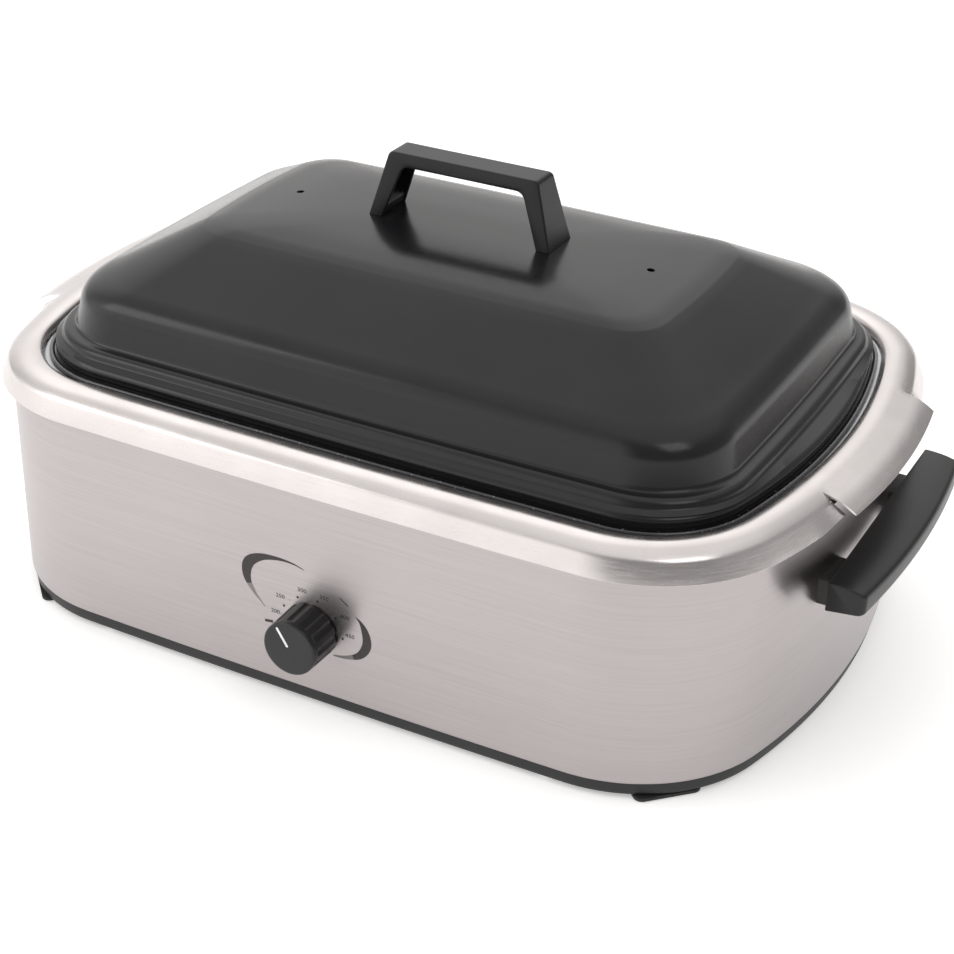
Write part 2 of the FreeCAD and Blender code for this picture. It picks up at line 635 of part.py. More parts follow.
sleeves("tie_nuts", [(x, y, D("well_floor_z") + D("sheet_wall")) for x, y in tie], 4.0, D("screw_rad") + D("bore_slack"), 2.4, 6)

# ---------------------------------------------------------------- heating band round the well, its clamp screw and nut
hz, hh, ht = n("band_foot_z"), n("band_height"), n("band_wall")
band = prism(wa + ht + 0.1, wb + ht + 0.1, wr + ht, WE + ht, RF, hz, hz + hh).cut(
    prism(wa + 0.1, wb + 0.1, wr, WE, RF, hz - 1, hz + hh + 1))
band = band.cut(Part.makeBox(12, 20, 40, V(-6, 152, hz - 5)))
yb = wb + 0.3
for sx in (-1, 1):
    lug = Part.makeBox(2.0, 13.0, hh - 6, V(6.0 if sx > 0 else -8.0, yb, hz + 3))
    band = band.fuse(lug)
band = band.cut(cyl(sr + slack, (-20, yb + 8, hz + hh / 2), (1, 0, 0), 40))
for x in (-58.0, -78.0):
    band = band.fuse(Part.makeBox(6.3, 14.0, 2.0, V(x, -wb - ht - 13.5, hz + 11)))
feature("heating_band", band)
screws("band_clamp_screw", [(8.0, yb + 8, hz + hh / 2)], "-X", D("screw_rad"), 20.0, 3.6, 2.0)
nut = prim("Part::Prism", "clamp_nut_hex", FreeCAD.Placement(V(0, 0, 0), ROT["-X"]), Circumradius=3.9, Height=3.0)
nut.Polygon = 6
move_to(nut, -8.0, yb + 8, hz + hh / 2)
hole = prim("Part::Cylinder", "clamp_nut_bore", FreeCAD.Placement(V(0, 0, 0), ROT["-X"]), Radius=D("screw_rad") + D("bore_slack"), Height=6.0)
move_to(hole, -6.0, yb + 8, hz + hh / 2)
c = doc.addObject("Part::Cut", "band_clamp_nut")
c.Label = "band_clamp_nut"
c.Base = nut
c.Tool = hole
NODES.append(c)

# ---------------------------------------------------------------- insulation blanket round the well
iz0, iz1, it = n("blanket_foot_z"), n("blanket_head_z"), n("blanket_wall")
blanket = prism(wa + 4 + it, wb + 4 + it, wr + 4 + it, WE + 4 + it, RF, iz0, iz1).cut(
    prism(wa + 4, wb + 4, wr + 4, WE + 4, RF, iz0 - 1, iz1 + 1))
blanket = blanket.cut(Part.makeBox(120, 40, 70, V(-90, -200, iz0 - 5)))
blanket = blanket.cut(Part.makeBox(44, 40, 46, V(-22, 150, 34)))
feature("insulation_blanket", blanket)

# ---------------------------------------------------------------- thermostat: case, mounting plate, terminals, sensing blade
ty0, ty1 = 185.2, 167.0
B = new_body("thermostat_case")
s = new_sketch(B, "XZ_Plane", "case_outline", ty1)
add_poly(s, [(D("dial_x") - 18, D("dial_z") - 19), (D("dial_x") + 18, D("dial_z") - 19),
             (D("dial_x") + 18, D("dial_z") + 19), (D("dial_x") - 18, D("dial_z") + 19)])
pad(B, s, ty0 - ty1)
s = new_sketch(B, "XZ_Plane", "case_bush", ty0)
add_circle(s, D("dial_x"), D("dial_z"), 4.0)
pad(B, s, 2.6)
s = new_sketch(B, "XZ_Plane", "case_bore", ty0 + 3)
add_circle(s, D("dial_x"), D("dial_z"), D("spindle_bore_rad"))
pocket(B, s, 15.0)

B = new_body("thermostat_plate")
s = new_sketch(B, "XZ_Plane", "plate_outline", ty0)
add_poly(s, [(D("dial_x") - 22, D("dial_z") - 14), (D("dial_x") + 22, D("dial_z") - 14),
             (D("dial_x") + 22, D("dial_z") + 14), (D("dial_x") - 22, D("dial_z") + 14)])
add_circle(s, D("dial_x"), D("dial_z"), 4.3, "mid")
for i, sx in enumerate((-1, 1)):
    add_circle(s, D("dial_x") + 11 * sx, D("dial_z"), D("small_screw_rad") + D("bore_slack"), "k%d" % i)
pad(B, s, 1.2)
B = None
screws("thermostat_screws", [(D("dial_x") + 11 * sx, -(shell_half_y(kz) + 0.1), D("dial_z")) for sx in (-1, 1)], "+Y",
       D("small_screw_rad"), 3.6, 2.7, 1.0)

tt = []
for i, sx in enumerate((-1, 1)):
    o = prim("Part::Box", "blade%d" % i, FreeCAD.Placement(), Length=6.3, Width=0.8, Height=6.8)
    move_to(o, D("dial_x") + 9 * sx - 3.15, -176.0, D("dial_z") - 25.8)
    tt.append(o)
c = doc.addObject("Part::Compound", "thermostat_terminals")
c.Label = "thermostat_terminals"
c.Links = tt
NODES.append(c)

B = new_body("sensing_blade")
s = new_sketch(B, "XZ_Plane", "blade_neck", wb + 0.3)
add_poly(s, [(D("dial_x") - 5, D("dial_z") - 5), (D("dial_x") + 5, D("dial_z") - 5),
             (D("dial_x") + 5, D("dial_z") + 18), (D("dial_x") - 5, D("dial_z") + 18)])
pad(B, s, ty1 - wb - 0.3)
s = new_sketch(B, "XZ_Plane", "blade_leaf", wb + 0.3)
add_poly(s, [(D("dial_x") - 12, D("dial_z") + 15), (D("dial_x") + 12, D("dial_z") + 15),
             (D("dial_x") + 12, D("dial_z") + 35), (D("dial_x") - 12, D("dial_z") + 35)])
pad(B, s, 1.0)
s = new_sketch(B, "XZ_Plane", "blade_clear", wb + 0.2)
add_poly(s, [(D("dial_x") - 8, D("dial_z") - 8), (D("dial_x") + 8, D("dial_z") - 8),
             (D("dial_x") + 8, D("dial_z") + 14.6), (D("dial_x") - 8, D("dial_z") + 14.6)])
pocket(B, s, 2.6, rev=True)

# ---------------------------------------------------------------- cord bush in the back wall
gx, gz = D("gland_x"), D("gland_z")
yo = shell_half_y(n("gland_z")) - n("gland_x") ** 2 / (2 * RF)
B = new_body("cord_bush")
s = new_sketch(B, "XZ_Plane", "bush_outer", -(yo + 0.4))
add_circle(s, gx, gz, 10.0)
pad(B, s, 2.6, rev=True)
s = new_sketch(B, "XZ_Plane", "bush_neck", -(yo + 0.4))
add_circle(s, gx, gz, 6.6)
pad(B, s, 2.0)
s = new_sketch(B, "XZ_Plane", "bush_inner", -(yo - 1.6))
add_circle(s, gx, gz, 8.4)
pad(B, s, 3.0)
s = new_sketch(B, "XZ_Plane", "bush_bore", -(yo + 10))
add_circle(s, gx, gz, D("gland_bore_rad"))
pocket(B, s, 40.0, rev=True)

# ---------------------------------------------------------------- internal leads, in the channel under the insulation
lr = n("lead_rad")


def arc3(c, u, v, r, a0, a1):
    f = [c + u * (r * math.cos(t)) + v * (r * math.sin(t)) for t in (a0, (a0 + a1) / 2, a1)]
    return Part.Arc(f[0], f[1], f[2]).toShape()


def lead(a, b, rc, z, x_start, x_end, z_end, y_in):
    # from the bush at the back, round the left end, to the front, then up to a terminal
    re, rf = 460.0, RF
    c, j1, j2, m, af, ae = oval_points(a, b, rc, re, rf)

    def on_back(x):
        return b - rf + math.sqrt(rf * rf - x * x)
    bend = 6.0
    tb = math.asin(x_start / rf)
    # start: from +Y side towards -Y, then turning to -X along the back arc
    xs = x_start
    tang = V(-math.cos(tb), math.sin(tb), 0)   # direction of travel on the back arc towards -X
    p_on = V(xs, on_back(xs), z)
    nin = V(tang.y, -tang.x, 0)
    if nin.y < 0:
        nin = nin * -1
    cen = p_on + nin * bend
    a_end = p_on
    a_beg = cen - tang * bend
    midv = (a_end - cen) + (a_beg - cen)
    midv.normalize()
    edges = []
    run = max(y_in - a_beg.y, 0.0)
    if run > 0.2:
        edges.append(Part.LineSegment(a_beg + nin * run, a_beg).toShape())
    edges.append(Part.Arc(a_beg, cen + midv * bend, a_end).toShape())
    xm = (xs - j1[0]) / 2
    edges.append(Part.Arc(p_on, V(xm, on_back(xm), z), V(-j1[0], -j1[1], z)).toShape())
    edges.append(Part.Arc(V(-j1[0], -j1[1], z), V(-m[0], -m[1], z), V(-j2[0], -j2[1], z)).toShape())
    edges.append(Part.Arc(V(-j2[0], -j2[1], z), V(-a, 0, z), V(-j2[0], j2[1], z)).toShape())
    edges.append(Part.Arc(V(-j2[0], j2[1], z), V(-m[0], m[1], z), V(-j1[0], j1[1], z)).toShape())
    xe = x_end
    xm = (xe - j1[0]) / 2
    pe = V(xe, -on_back(xe), z)
    edges.append(Part.Arc(V(-j1[0], j1[1], z), V(xm, -on_back(xm), z), pe).toShape())
    te = math.asin(xe / rf)
    tang = V(math.cos(te), math.sin(te), 0)
    cen = pe + V(0, 0, bend)
    edges.append(arc3(cen, V(0, 0, -1), tang, bend, 0, math.pi / 2))
    top = cen + tang * bend
    if z_end - top.z > 0.2:
        edges.append(Part.LineSegment(top, V(top.x, top.y, z_end)).toShape())
    w = Part.Wire(edges)
    p0 = w.Edges[0].valueAt(w.Edges[0].FirstParameter)
    d0 = w.Edges[0].tangentAt(w.Edges[0].FirstParameter)
    prof = Part.Wire(Part.makeCircle(lr, p0, d0))
    sh = w.makePipeShell([prof], True, False)
    print("lead length", round(w.Length, 1), "volume ratio", round(sh.Volume / (math.pi * lr * lr * w.Length), 4), sh.isValid())
    return sh


bush_in = yo - 1.6 - 3.0
leads = [
    lead(254.0, 175.5, 79.0, gz.v, n("gland_x") - 6.0 - 1.6, kx - 9.0 - 6.0, kz - 25.9, bush_in - 0.2),
    lead(250.9, 172.4, 75.9, gz.v, n("gland_x") - 6.0 + 1.6, -54.8 - 6.0, hz + 10.9, bush_in - 0.2),
]
feature("line_lead", leads[0])
feature("neutral_lead", leads[1])
jump = []
jy = -173.0
p1, p2 = V(kx + 9, -175.6, kz - 25.9), V(-74.8, -wb - ht - 4.0, hz + 10.9)
e = []
zb = 17.4
r = 6.0
# from the right-hand terminal down, along the front, up to the band's second tab
a1 = V(p1.x, p1.y, zb + r)
c1 = V(p1.x - r, p1.y, zb + r)
e.append(Part.LineSegment(p1, a1).toShape()) if p1.z - a1.z > 0.2 else None
hd = V(p2.x - p1.x, p2.y - p1.y, 0)
hd.normalize()
c1 = a1 + hd * r
q1 = c1 + V(0, 0, -r)
mm = (a1 - c1) + (q1 - c1)
mm.normalize()
e.append(Part.Arc(a1, c1 + mm * r, q1).toShape())
q2 = V(p2.x, p2.y, zb) - hd * r
e.append(Part.LineSegment(q1, q2).toShape())
c2v = q2 + V(0, 0, r)
q3 = c2v + hd * r
mm = (q2 - c2v) + (q3 - c2v)
mm.normalize()
e.append(Part.Arc(q2, c2v + mm * r, q3).toShape())
e.append(Part.LineSegment(q3, p2).toShape())
w = Part.Wire([x for x in e if x is not None])
prof = Part.Wire(Part.makeCircle(lr, w.Edges[0].valueAt(w.Edges[0].FirstParameter), w.Edges[0].tangentAt(w.Edges[0].FirstParameter)))
sh = w.makePipeShell([prof], True, False)
print("heater lead", round(w.Length, 1), round(sh.Volume / (math.pi * lr * lr * w.Length), 4), sh.isValid())
feature("heater_lead", sh)

# ---------------------------------------------------------------- side handles: grip, bracket legs and screws
gi, go, gy = D("grip_inner_x"), D("grip_outer_x"), D("grip_half_y")
gz0, gz1, gs = D("grip_foot_z"), D("grip_head_z"), D("grip_slope")
for side, sx in (("right", 1), ("left", -1)):
    B = new_body("side_grip_" + side)
    s = new_sketch(B, "XY_Plane", "grip_plan_" + side, gz0)
    R = n("grip_bow_rad")
    xe = go.v - (R - math.sqrt(R * R - gy.v ** 2))
    g = s.addGeometry(Part.LineSegment(V(sx * gi.v, -gy.v, 0), V(sx * xe, -gy.v, 0)), False)
    cx = sx * (go.v - R)
    th = math.asin(gy.v / R)
    if sx > 0:
        s.addGeometry(Part.ArcOfCircle(Part.Circle(V(cx, 0, 0), V(0, 0, 1), R), -th, th), False)
        p_lo, p_hi = 1, 2
    else:
        s.addGeometry(Part.ArcOfCircle(Part.Circle(V(cx, 0, 0), V(0, 0, 1), R), math.pi - th, math.pi + th), False)
        p_lo, p_hi = 2, 1
    s.addGeometry(Part.LineSegment(V(sx * xe, gy.v, 0), V(sx * gi.v, gy.v, 0)), False)
    s.addGeometry(Part.LineSegment(V(sx * gi.v, gy.v, 0), V(sx * gi.v, -gy.v, 0)), False)
    s.addConstraint(Sketcher.Constraint("Coincident", 0, 2, 1, p_lo))
    s.addConstraint(Sketcher.Constraint("Coincident", 1, p_hi, 2, 1))
    s.addConstraint(Sketcher.Constraint("Coincident", 2, 2, 3, 1))
    s.addConstraint(Sketcher.Constraint("Coincident", 3, 2, 0, 1))
    s.addConstraint(Sketcher.Constraint("PointOnObject", 1, 3, -1))
    bind(s, "DistanceX", (0, 1), gi * sx, "inner_a")
    bind(s, "DistanceY", (0, 1), -gy, "near_a")
    bind(s, "DistanceX", (2, 2), gi * sx, "inner_b")
    bind(s, "DistanceY", (2, 2), gy, "far_a")
    bind(s, "DistanceY", (0, 2), -gy, "near_b")
    bind(s, "DistanceY", (2, 1), gy, "far_b")
    bind(s, "Radius", (1,), D("grip_bow_rad"), "bow")
    bind(s, "DistanceX", (1, 3), (go - D("grip_bow_rad")) * sx, "bow_at")
    pad(B, s, gz1 - gz0)
    s = new_sketch(B, "XZ_Plane", "grip_slopes_" + side, 100)
    add_poly(s, [((gi) * sx, gz1), ((go + 2) * sx, gz1 - gs), ((go + 2) * sx, gz1 + 3), ((gi) * sx, gz1 + 3)], "up")
    add_poly(s, [((gi) * sx, gz0), ((go + 2) * sx, gz0 + gs), ((go + 2) * sx, gz0 - 3), ((gi) * sx, gz0 - 3)], "dn")
    pocket(B, s, 200.0)
    s = new_sketch(B, "YZ_Plane", "grip_bores_" + side, gi * sx)
    for i, sy in enumerate((-1, 1)):
        add_circle(s, 56.0 * sy, D("grip_screw_z"), D("screw_rad") + D("bore_slack"), "k%d" % i)
    pocket(B, s, 14.0, rev=(sx > 0))
    tip = B.Tip
    es = []
    for j, ed in enumerate(tip.Shape.Edges):
        if len(ed.Vertexes) != 2:
            continue
        v0, v1 = ed.Vertexes[0].Point, ed.Vertexes[1].Point
        if max(abs(v0.x), abs(v1.x)) < gi.v + 5:
            continue
        long_edge = abs(v0.y - v1.y) > 100
        upright = abs(v0.x - v1.x) < 0.01 and abs(v0.y - v1.y) < 0.01
        if long_edge or upright:
            es.append("Edge%d" % (j + 1))
    f = B.newObject("PartDesign::Fillet", "grip_round_" + side)
    f.Base = (tip, es)
    f.Radius = 3.0
    B.Tip = f
    doc.recompute()

    legs = []
    for sy in (-1, 1):
        y0 = n("bracket_near_y") if sy > 0 else -n("bracket_far_y")
        bx = Part.makeBox(gi.v - 252, n("bracket_far_y") - n("bracket_near_y"), n("bracket_head_z") - n("bracket_foot_z"),
                          V(252 if sx > 0 else -gi.v, y0, n("bracket_foot_z")))
        bx = bx.cut(shell_block)
        bx = bx.cut(cyl(sr + slack, (sx * 250, sy * 56.0, n("grip_screw_z")), (sx, 0, 0), 40))
        legs += bx.Solids
    feature("handle_bracket_" + side, Part.makeCompound(legs))


def shell_x(y):
    return ax - (re_s - math.sqrt(re_s * re_s - y * y))


grip_screw_seat = shell_x(56.0) - ts - 0.75
pl = []
for sx in (1, -1):
    pl.append([(sx * grip_screw_seat, sy * 56.0, D("grip_screw_z")) for sy in (-1, 1)])
sc = []
for sx, axn in ((1, "+X"), (-1, "-X")):
    back = "-X" if sx > 0 else "+X"
    for i, (x, y, z) in enumerate(pl[0 if sx > 0 else 1]):
        a = prim("Part::Cylinder", "hs_shank%d%d" % (sx + 1, i), FreeCAD.Placement(V(0, 0, 0), ROT[axn]), Radius=D("screw_rad"), Height=22.0)
        move_to(a, x, y, z)
        h = prim("Part::Cylinder", "hs_head%d%d" % (sx + 1, i), FreeCAD.Placement(V(0, 0, 0), ROT[back]), Radius=3.8, Height=1.2)
        move_to(h, x, y, z)
        f = doc.addObject("Part::Fuse", "hs_one%d%d" % (sx + 1, i))
        f.Base = a
        f.Tool = h
        sc.append(f)
c = doc.addObject("Part::Compound", "handle_screws")
c.Label = "handle_screws"
c.Links = sc
NODES.append(c)

# ---------------------------------------------------------------- control spindle, knob and pointer
B = new_body("control_spindle")
s = new_sketch(B, "XZ_Plane", "spindle_round", 174.0)
add_circle(s, D("dial_x"), D("dial_z"), D("spindle_rad"))
pad(B, s, 34.0)
s = new_sketch(B, "XZ_Plane", "spindle_flat", 196.0)
add_poly(s, [(D("dial_x") - 4, D("dial_z") + 1.8), (D("dial_x") + 4, D("dial_z") + 1.8),
             (D("dial_x") + 4, D("dial_z") + 5), (D("dial_x") - 4, D("dial_z") + 5)])
pocket(B, s, 14.0, rev=True)



def turned(half, r0, r1):
    # a bar on the knob's face from r0 to r1, standing at the knob's rest angle left of upright
    th = Q(n("knob_rest_deg"), "dims.knob_rest_deg")
    sn, cs = Q(math.sin(math.radians(th.v)), "sin(%s)" % th.t), Q(math.cos(math.radians(th.v)), "cos(%s)" % th.t)
    return [(D("dial_x") - sn * r + cs * w, D("dial_z") + cs * r + sn * w)
            for w, r in ((-half, r0), (half, r0), (half, r1), (-half, r1))]


B = new_body("control_knob")
kr, kf = D("knob_rad"), D("knob_face_rad")
y0, y1 = D("knob_rear_y"), D("knob_face_y")
s = new_sketch(B, "YZ_Plane", "knob_section", D("dial_x"))
# half section in the plane x = dial axis, drawn as y, z above the axis
dz = D("dial_z")
add_poly(s, [(-y1, dz), (-y1, dz + kf - 1.2), (-y1 + 1.2, dz + kf), (-y0, dz + kr), (-y0, dz + kr - 2.2),
             (-y1 + 3.0, dz + kr - 2.8), (-y1 + 3.0, dz + 5.4), (-y0 - 3.0, dz + 5.4), (-y0 - 3.0, dz)])
ln = s.addGeometry(Part.LineSegment(V(-y1.v - 5, dz.v, 0), V(-y0.v + 5, dz.v, 0)), True)
s.addConstraint(Sketcher.Constraint("Horizontal", ln))
bind(s, "DistanceY", (ln, 1), dz, "axis_z")
bind(s, "DistanceX", (ln, 1), -y1 - 5, "axis_a")
bind(s, "DistanceX", (ln, 2), -y0 + 5, "axis_b")
r = B.newObject("PartDesign::Revolution", "knob_turned")
r.Profile = s
r.ReferenceAxis = (s, ["Axis0"])
r.Angle = 360.0
doc.recompute()
s = new_sketch(B, "XZ_Plane", "knob_bore", y0 + 1)
add_circle(s, D("dial_x"), D("dial_z"), D("spindle_rad") + 0.03)
pocket(B, s, 18.5, rev=True)
s = new_sketch(B, "XZ_Plane", "knob_flute", y1 - 3.6)
add_circle(s, D("dial_x"), D("dial_z") + D("knob_rad") + D("flute_rad") - D("flute_deep"), D("flute_rad"), "fl")
fl = pocket(B, s, 30.0)
pp = B.newObject("PartDesign::PolarPattern", "knob_flutes")
pp.Originals = [fl]
# pattern axis: the axis line of the section sketch
sk0 = doc.getObject("knob_section")
pp.Axis = (sk0, ["Axis0"])
pp.Angle = 360.0
pp.Occurrences = 12
B.Tip = pp
doc.recompute()
s = new_sketch(B, "XZ_Plane", "knob_slot", y1 + 1)
add_poly(s, turned(0.9, 1.3, 14.6))
pocket(B, s, 1.6, rev=False)

B = new_body("knob_pointer")
s = new_sketch(B, "XZ_Plane", "pointer_bar", y1 - 0.6)
add_poly(s, turned(0.85, 1.35, 14.55))
pad(B, s, 0.6)

# ---------------------------------------------------------------- lid
LT = n("lid_wall_thick")
cz = n("lid_crease_z")
la, lb = n("lid_crease_half_x"), n("lid_crease_half_y")
sa, sb, sz = n("lid_shoulder_half_x"), n("lid_shoulder_half_y"), n("lid_shoulder_z")
ua, ub = n("lid_wall_half_x"), n("lid_wall_half_y")
ba, bb_ = n("lid_bead_half_x"), n("lid_bead_half_y")
ga, gb = n("lid_flange_half_x"), n("lid_flange_half_y")
ez = n("lid_edge_z")
LO = [
    (70, 22, 14, 500, RF, n("lid_panel_z")),
    (111, 52, 20, 600, RF, n("lid_panel_z") - 1.7),
    (146, 70, 23, 640, RF, cz + 2.6),
    (la, lb, 25.0, 660, RF, cz),
    (la + 5, lb + 5.2, 28, 700, RF, cz - 2.4),
    (198.5, 123.6, 42.0, 1500, RF, 206.6),
    (205.8, 131.2, 45.0, 2000, RF, 202.9),
    (sa, sb, 47.5, 2600, RF, sz),
    (214.9, 140.5, 49.0, 3000, RF, 192.7),
    (216.4, 142.0, 49.6, 3000, RF, 184.5),
    (ua, ub, 50.4, 3000, RF, 175.2),
    (ua + 1.0, ub + 1.0, 51.2, 3000, RF, 173.5),
    (ua + 3.2, ub + 3.0, 53.0, 3000, RF, 172.9),
    (ba - 2.4, bb_ - 2.2, 56.0, 2600, RF, 172.5),
    (ba, bb_, 58.0, 2200, RF, 170.9),
    (ba + 1.8, bb_ + 1.3, 59.5, 1600, RF, 167.6),
    (ga - 2.4, gb - 1.6, 61.8, 462, RF, 165.6),
    (ga, gb, 63.4, 445.5, RF, 163.8),
    (ga, gb, 63.4, 445.5, RF, ez),
]


def offset_levels(levels, t):
    # the inner skin: each level moved by the sheet's thickness square to the section's outline
    out = []
    for i, lv in enumerate(levels):
        dirs = []
        for k in (i - 1, i):
            if 0 <= k < len(levels) - 1:
                dx, dz = levels[k + 1][0] - levels[k][0], levels[k + 1][5] - levels[k][5]
                m = math.hypot(dx, dz)
                dirs.append((dz / m, -dx / m))
        nx, nz = sum(d[0] for d in dirs), sum(d[1] for d in dirs)
        m = math.hypot(nx, nz)
        nx, nz = nx / m, nz / m
        grow = t / max(0.6, nx * dirs[0][0] + nz * dirs[0][1])
        ox, oz = nx * grow, nz * grow
        if i == 0:
            ox, oz = 0.0, -t
        if i == len(levels) - 1:
            ox, oz = -t, 0.0
        a, b, rc, re_, rf_, z = lv
        out.append((a + ox, b + ox, rc + ox, re_ + ox, rf_, z + oz))
    return out


LI = offset_levels(LO, LT)
lid = section_solid(LO + LI[::-1], False)
for sx in (-1, 1):
    lid = lid.cut(cyl(n("vent_rad"), (sx * n("vent_x"), 0, 220), (0, 0, 1), 30))
    lid = lid.cut(cyl(sr + slack, (sx * n("bail_screw_x"), 0, 220), (0, 0, 1), 30))
feature("lid_shell", lid)

# lid handle: a bridge with flared legs, hollow towards the inside
tzh, fzh = n("bail_top_z"), n("bail_foot_z")
tx_, fx_ = n("bail_top_half_x"), n("bail_foot_half_x")
ty_, fy_ = n("bail_top_half_y"), n("bail_foot_half_y")


def slab(hx, hy, z):
    return Part.makePolygon([V(-hx, -hy, z), V(hx, -hy, z), V(hx, hy, z), V(-hx, hy, z), V(-hx, -hy, z)])


ch = 2.0
outer = Part.makeLoft([slab(fx_, fy_, fzh), slab(tx_ + 0.6, ty_ + 0.24, tzh - ch), slab(tx_ - ch + 0.4, ty_ - ch * 0.7, tzh)], True, True)
lt = n("bail_leg_thick")
bt2 = n("bail_bar_thick")
win = Part.makeLoft([
    Part.makePolygon([V(-fx_ + lt, y, fzh - 1), V(fx_ - lt, y, fzh - 1), V(tx_ - lt + 1.5, y, tzh - bt2 - 5), V(tx_ - lt - 3, y, tzh - bt2),
                      V(-tx_ + lt + 3, y, tzh - bt2), V(-tx_ + lt - 1.5, y, tzh - bt2 - 5), V(-fx_ + lt, y, fzh - 1)]) for y in (-30, 30)], True, True)
bail = outer.cut(win)
# the channel on the inner side of each leg and under the bar
chan = Part.makeLoft([
    Part.makePolygon([V(-fx_ + 3.2, y, fzh + 9.0), V(fx_ - 3.2, y, fzh + 9.0), V(tx_ - 2.6, y, tzh - 6.5), V(tx_ - 7, y, tzh - 4.2),
                      V(-tx_ + 7, y, tzh - 4.2), V(-tx_ + 2.6, y, tzh - 6.5), V(-fx_ + 3.2, y, fzh + 9.0)]) for y in (-ty_ + 3.0, ty_ - 3.0)], True, True)
bail = bail.cut(chan)
for sx in (-1, 1):
    bail = bail.cut(cyl(sr + slack, (sx * n("bail_screw_x"), 0, fzh - 1), (0, 0, 1), 9))
feature("lid_handle", bail)
seat = [(n("bail_screw_x") * sx) for sx in (-1, 1)]
under = n("lid_panel_z") - LT
sleeves("lid_screw_washers", [(x, 0, under - 1.0) for x in seat], 5.5, D("screw_rad") + D("bore_slack"), 0.8)
screws("lid_handle_screws", [(x, 0, under - 1.05) for x in seat], "+Z", D("screw_rad"), 9.6, 3.6, 1.9)

# ---------------------------------------------------------------- rack: frame, rods and lifting bails
ra, rb, rr = n("rack_half_x"), n("rack_half_y"), n("rack_corner_rad")
wrad, rod = n("rack_wire_rad"), n("rack_rod_rad")
fz = n("rack_frame_z")
REk = 900.0
path = oval_wire(ra, rb, rr, REk, RF, fz)
prof = Part.Wire(Part.makeCircle(wrad, V(*oval_points(ra, rb, rr, REk, RF)[1], fz), V(1, 0, 0)))
e0w = path.Edges[0]
prof = Part.Wire(Part.makeCircle(wrad, e0w.valueAt(e0w.FirstParameter), e0w.tangentAt(e0w.FirstParameter)))
ringw = path.makePipeShell([prof], True, False)
for sx in (-1, 1):
    for sy in (-1, 1):
        ringw = ringw.fuse(cyl(wrad, (sx * 120.0, sy * (rb - 120.0 ** 2 / (2 * RF)), pz0 + pt + 0.5), (0, 0, 1), fz - pz0 - pt - 0.5))
feature("rack_frame", ringw)
rods = []
for i in range(-7, 8):
    x = i * 23.5
    yy = rb - x * x / (2 * RF) + 1.5
    rods.append(cyl(rod, (x, -yy, fz + wrad + rod), (0, 1, 0), 2 * yy))
feature("rack_rods", Part.makeCompound(rods))
bails = []
for sx in (-1, 1):
    x = sx * (ra - 34.0 ** 2 / (2 * REk))
    z0, z1, hw, rb_ = fz + wrad, 60.0, 34.0, 10.0
    w = Part.Wire([
        Part.LineSegment(V(x, -hw, z0), V(x, -hw, z1 - rb_)).toShape(),
        Part.Arc(V(x, -hw, z1 - rb_), V(x, -hw + rb_ * (1 - math.sqrt(0.5)), z1 - rb_ * (1 - math.sqrt(0.5))), V(x, -hw + rb_, z1)).toShape(),
        Part.LineSegment(V(x, -hw + rb_, z1), V(x, hw - rb_, z1)).toShape(),
        Part.Arc(V(x, hw - rb_, z1), V(x, hw - rb_ * (1 - math.sqrt(0.5)), z1 - rb_ * (1 - math.sqrt(0.5))), V(x, hw, z1 - rb_)).toShape(),
        Part.LineSegment(V(x, hw, z1 - rb_), V(x, hw, z0)).toShape(),
    ])
    prof = Part.Wire(Part.makeCircle(2.0, V(x, -hw, z0), V(0, 0, 1)))
    bails.append(w.makePipeShell([prof], True, False))
feature("rack_bails", Part.makeCompound(bails))

# ---------------------------------------------------------------- checks and export
doc.recompute()
bad = []
for o in doc.Objects:
    if "Invalid" in o.State or "Error" in o.State:
        bad.append((o.Label, o.State))
for o in NODES:
    sh = o.Shape
    if sh.isNull() or not sh.isValid() or not sh.Solids:
        bad.append((o.Label, "shape"))
for o in doc.Objects:
    if o.TypeId == "Sketcher::SketchObject" and o.solve() != 0:
        bad.append((o.Label, "sketch"))
if bad:
    print("BAD", bad)
    raise RuntimeError("failed objects: %s" % bad)
labels = [o.Label for o in NODES]
assert len(set(labels)) == len(labels) and len(labels) <= 60
for o in NODES:
    sh = o.Shape
    sol = sh.Solids
    out = sol[0] if len(sol) == 1 else Part.makeCompound(sol)
    out.exportStep("parts/" + o.Label + ".step")
    bx = sh.BoundBox
    print("%-22s solids %2d vol %9.0f  x %7.1f %7.1f  y %7.1f %7.1f  z %6.1f %6.1f" % (
        o.Label, len(sol), sh.Volume, bx.XMin, bx.XMax, bx.YMin, bx.YMax, bx.ZMin, bx.ZMax))
print(len(NODES), "nodes")
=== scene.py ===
import bpy
import bmesh
import json
import math
from mathutils import Vector, Matrix, interpolate
from mathutils.bvhtree import BVHTree


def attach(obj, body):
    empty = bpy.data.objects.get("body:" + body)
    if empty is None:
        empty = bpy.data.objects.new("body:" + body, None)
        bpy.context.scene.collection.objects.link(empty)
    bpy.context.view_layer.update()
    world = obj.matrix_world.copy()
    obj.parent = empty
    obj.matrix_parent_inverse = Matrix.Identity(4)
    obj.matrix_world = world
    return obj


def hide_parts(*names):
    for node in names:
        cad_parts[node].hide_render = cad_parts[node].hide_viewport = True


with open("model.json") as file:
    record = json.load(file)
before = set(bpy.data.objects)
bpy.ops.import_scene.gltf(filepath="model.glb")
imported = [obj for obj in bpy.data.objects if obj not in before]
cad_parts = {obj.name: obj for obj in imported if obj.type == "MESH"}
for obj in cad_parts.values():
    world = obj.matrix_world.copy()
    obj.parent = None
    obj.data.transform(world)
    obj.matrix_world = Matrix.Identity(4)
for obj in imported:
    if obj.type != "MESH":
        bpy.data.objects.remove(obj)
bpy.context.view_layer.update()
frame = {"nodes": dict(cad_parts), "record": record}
MM = 0.001
RF = 8000.0
SCN = bpy.context.scene

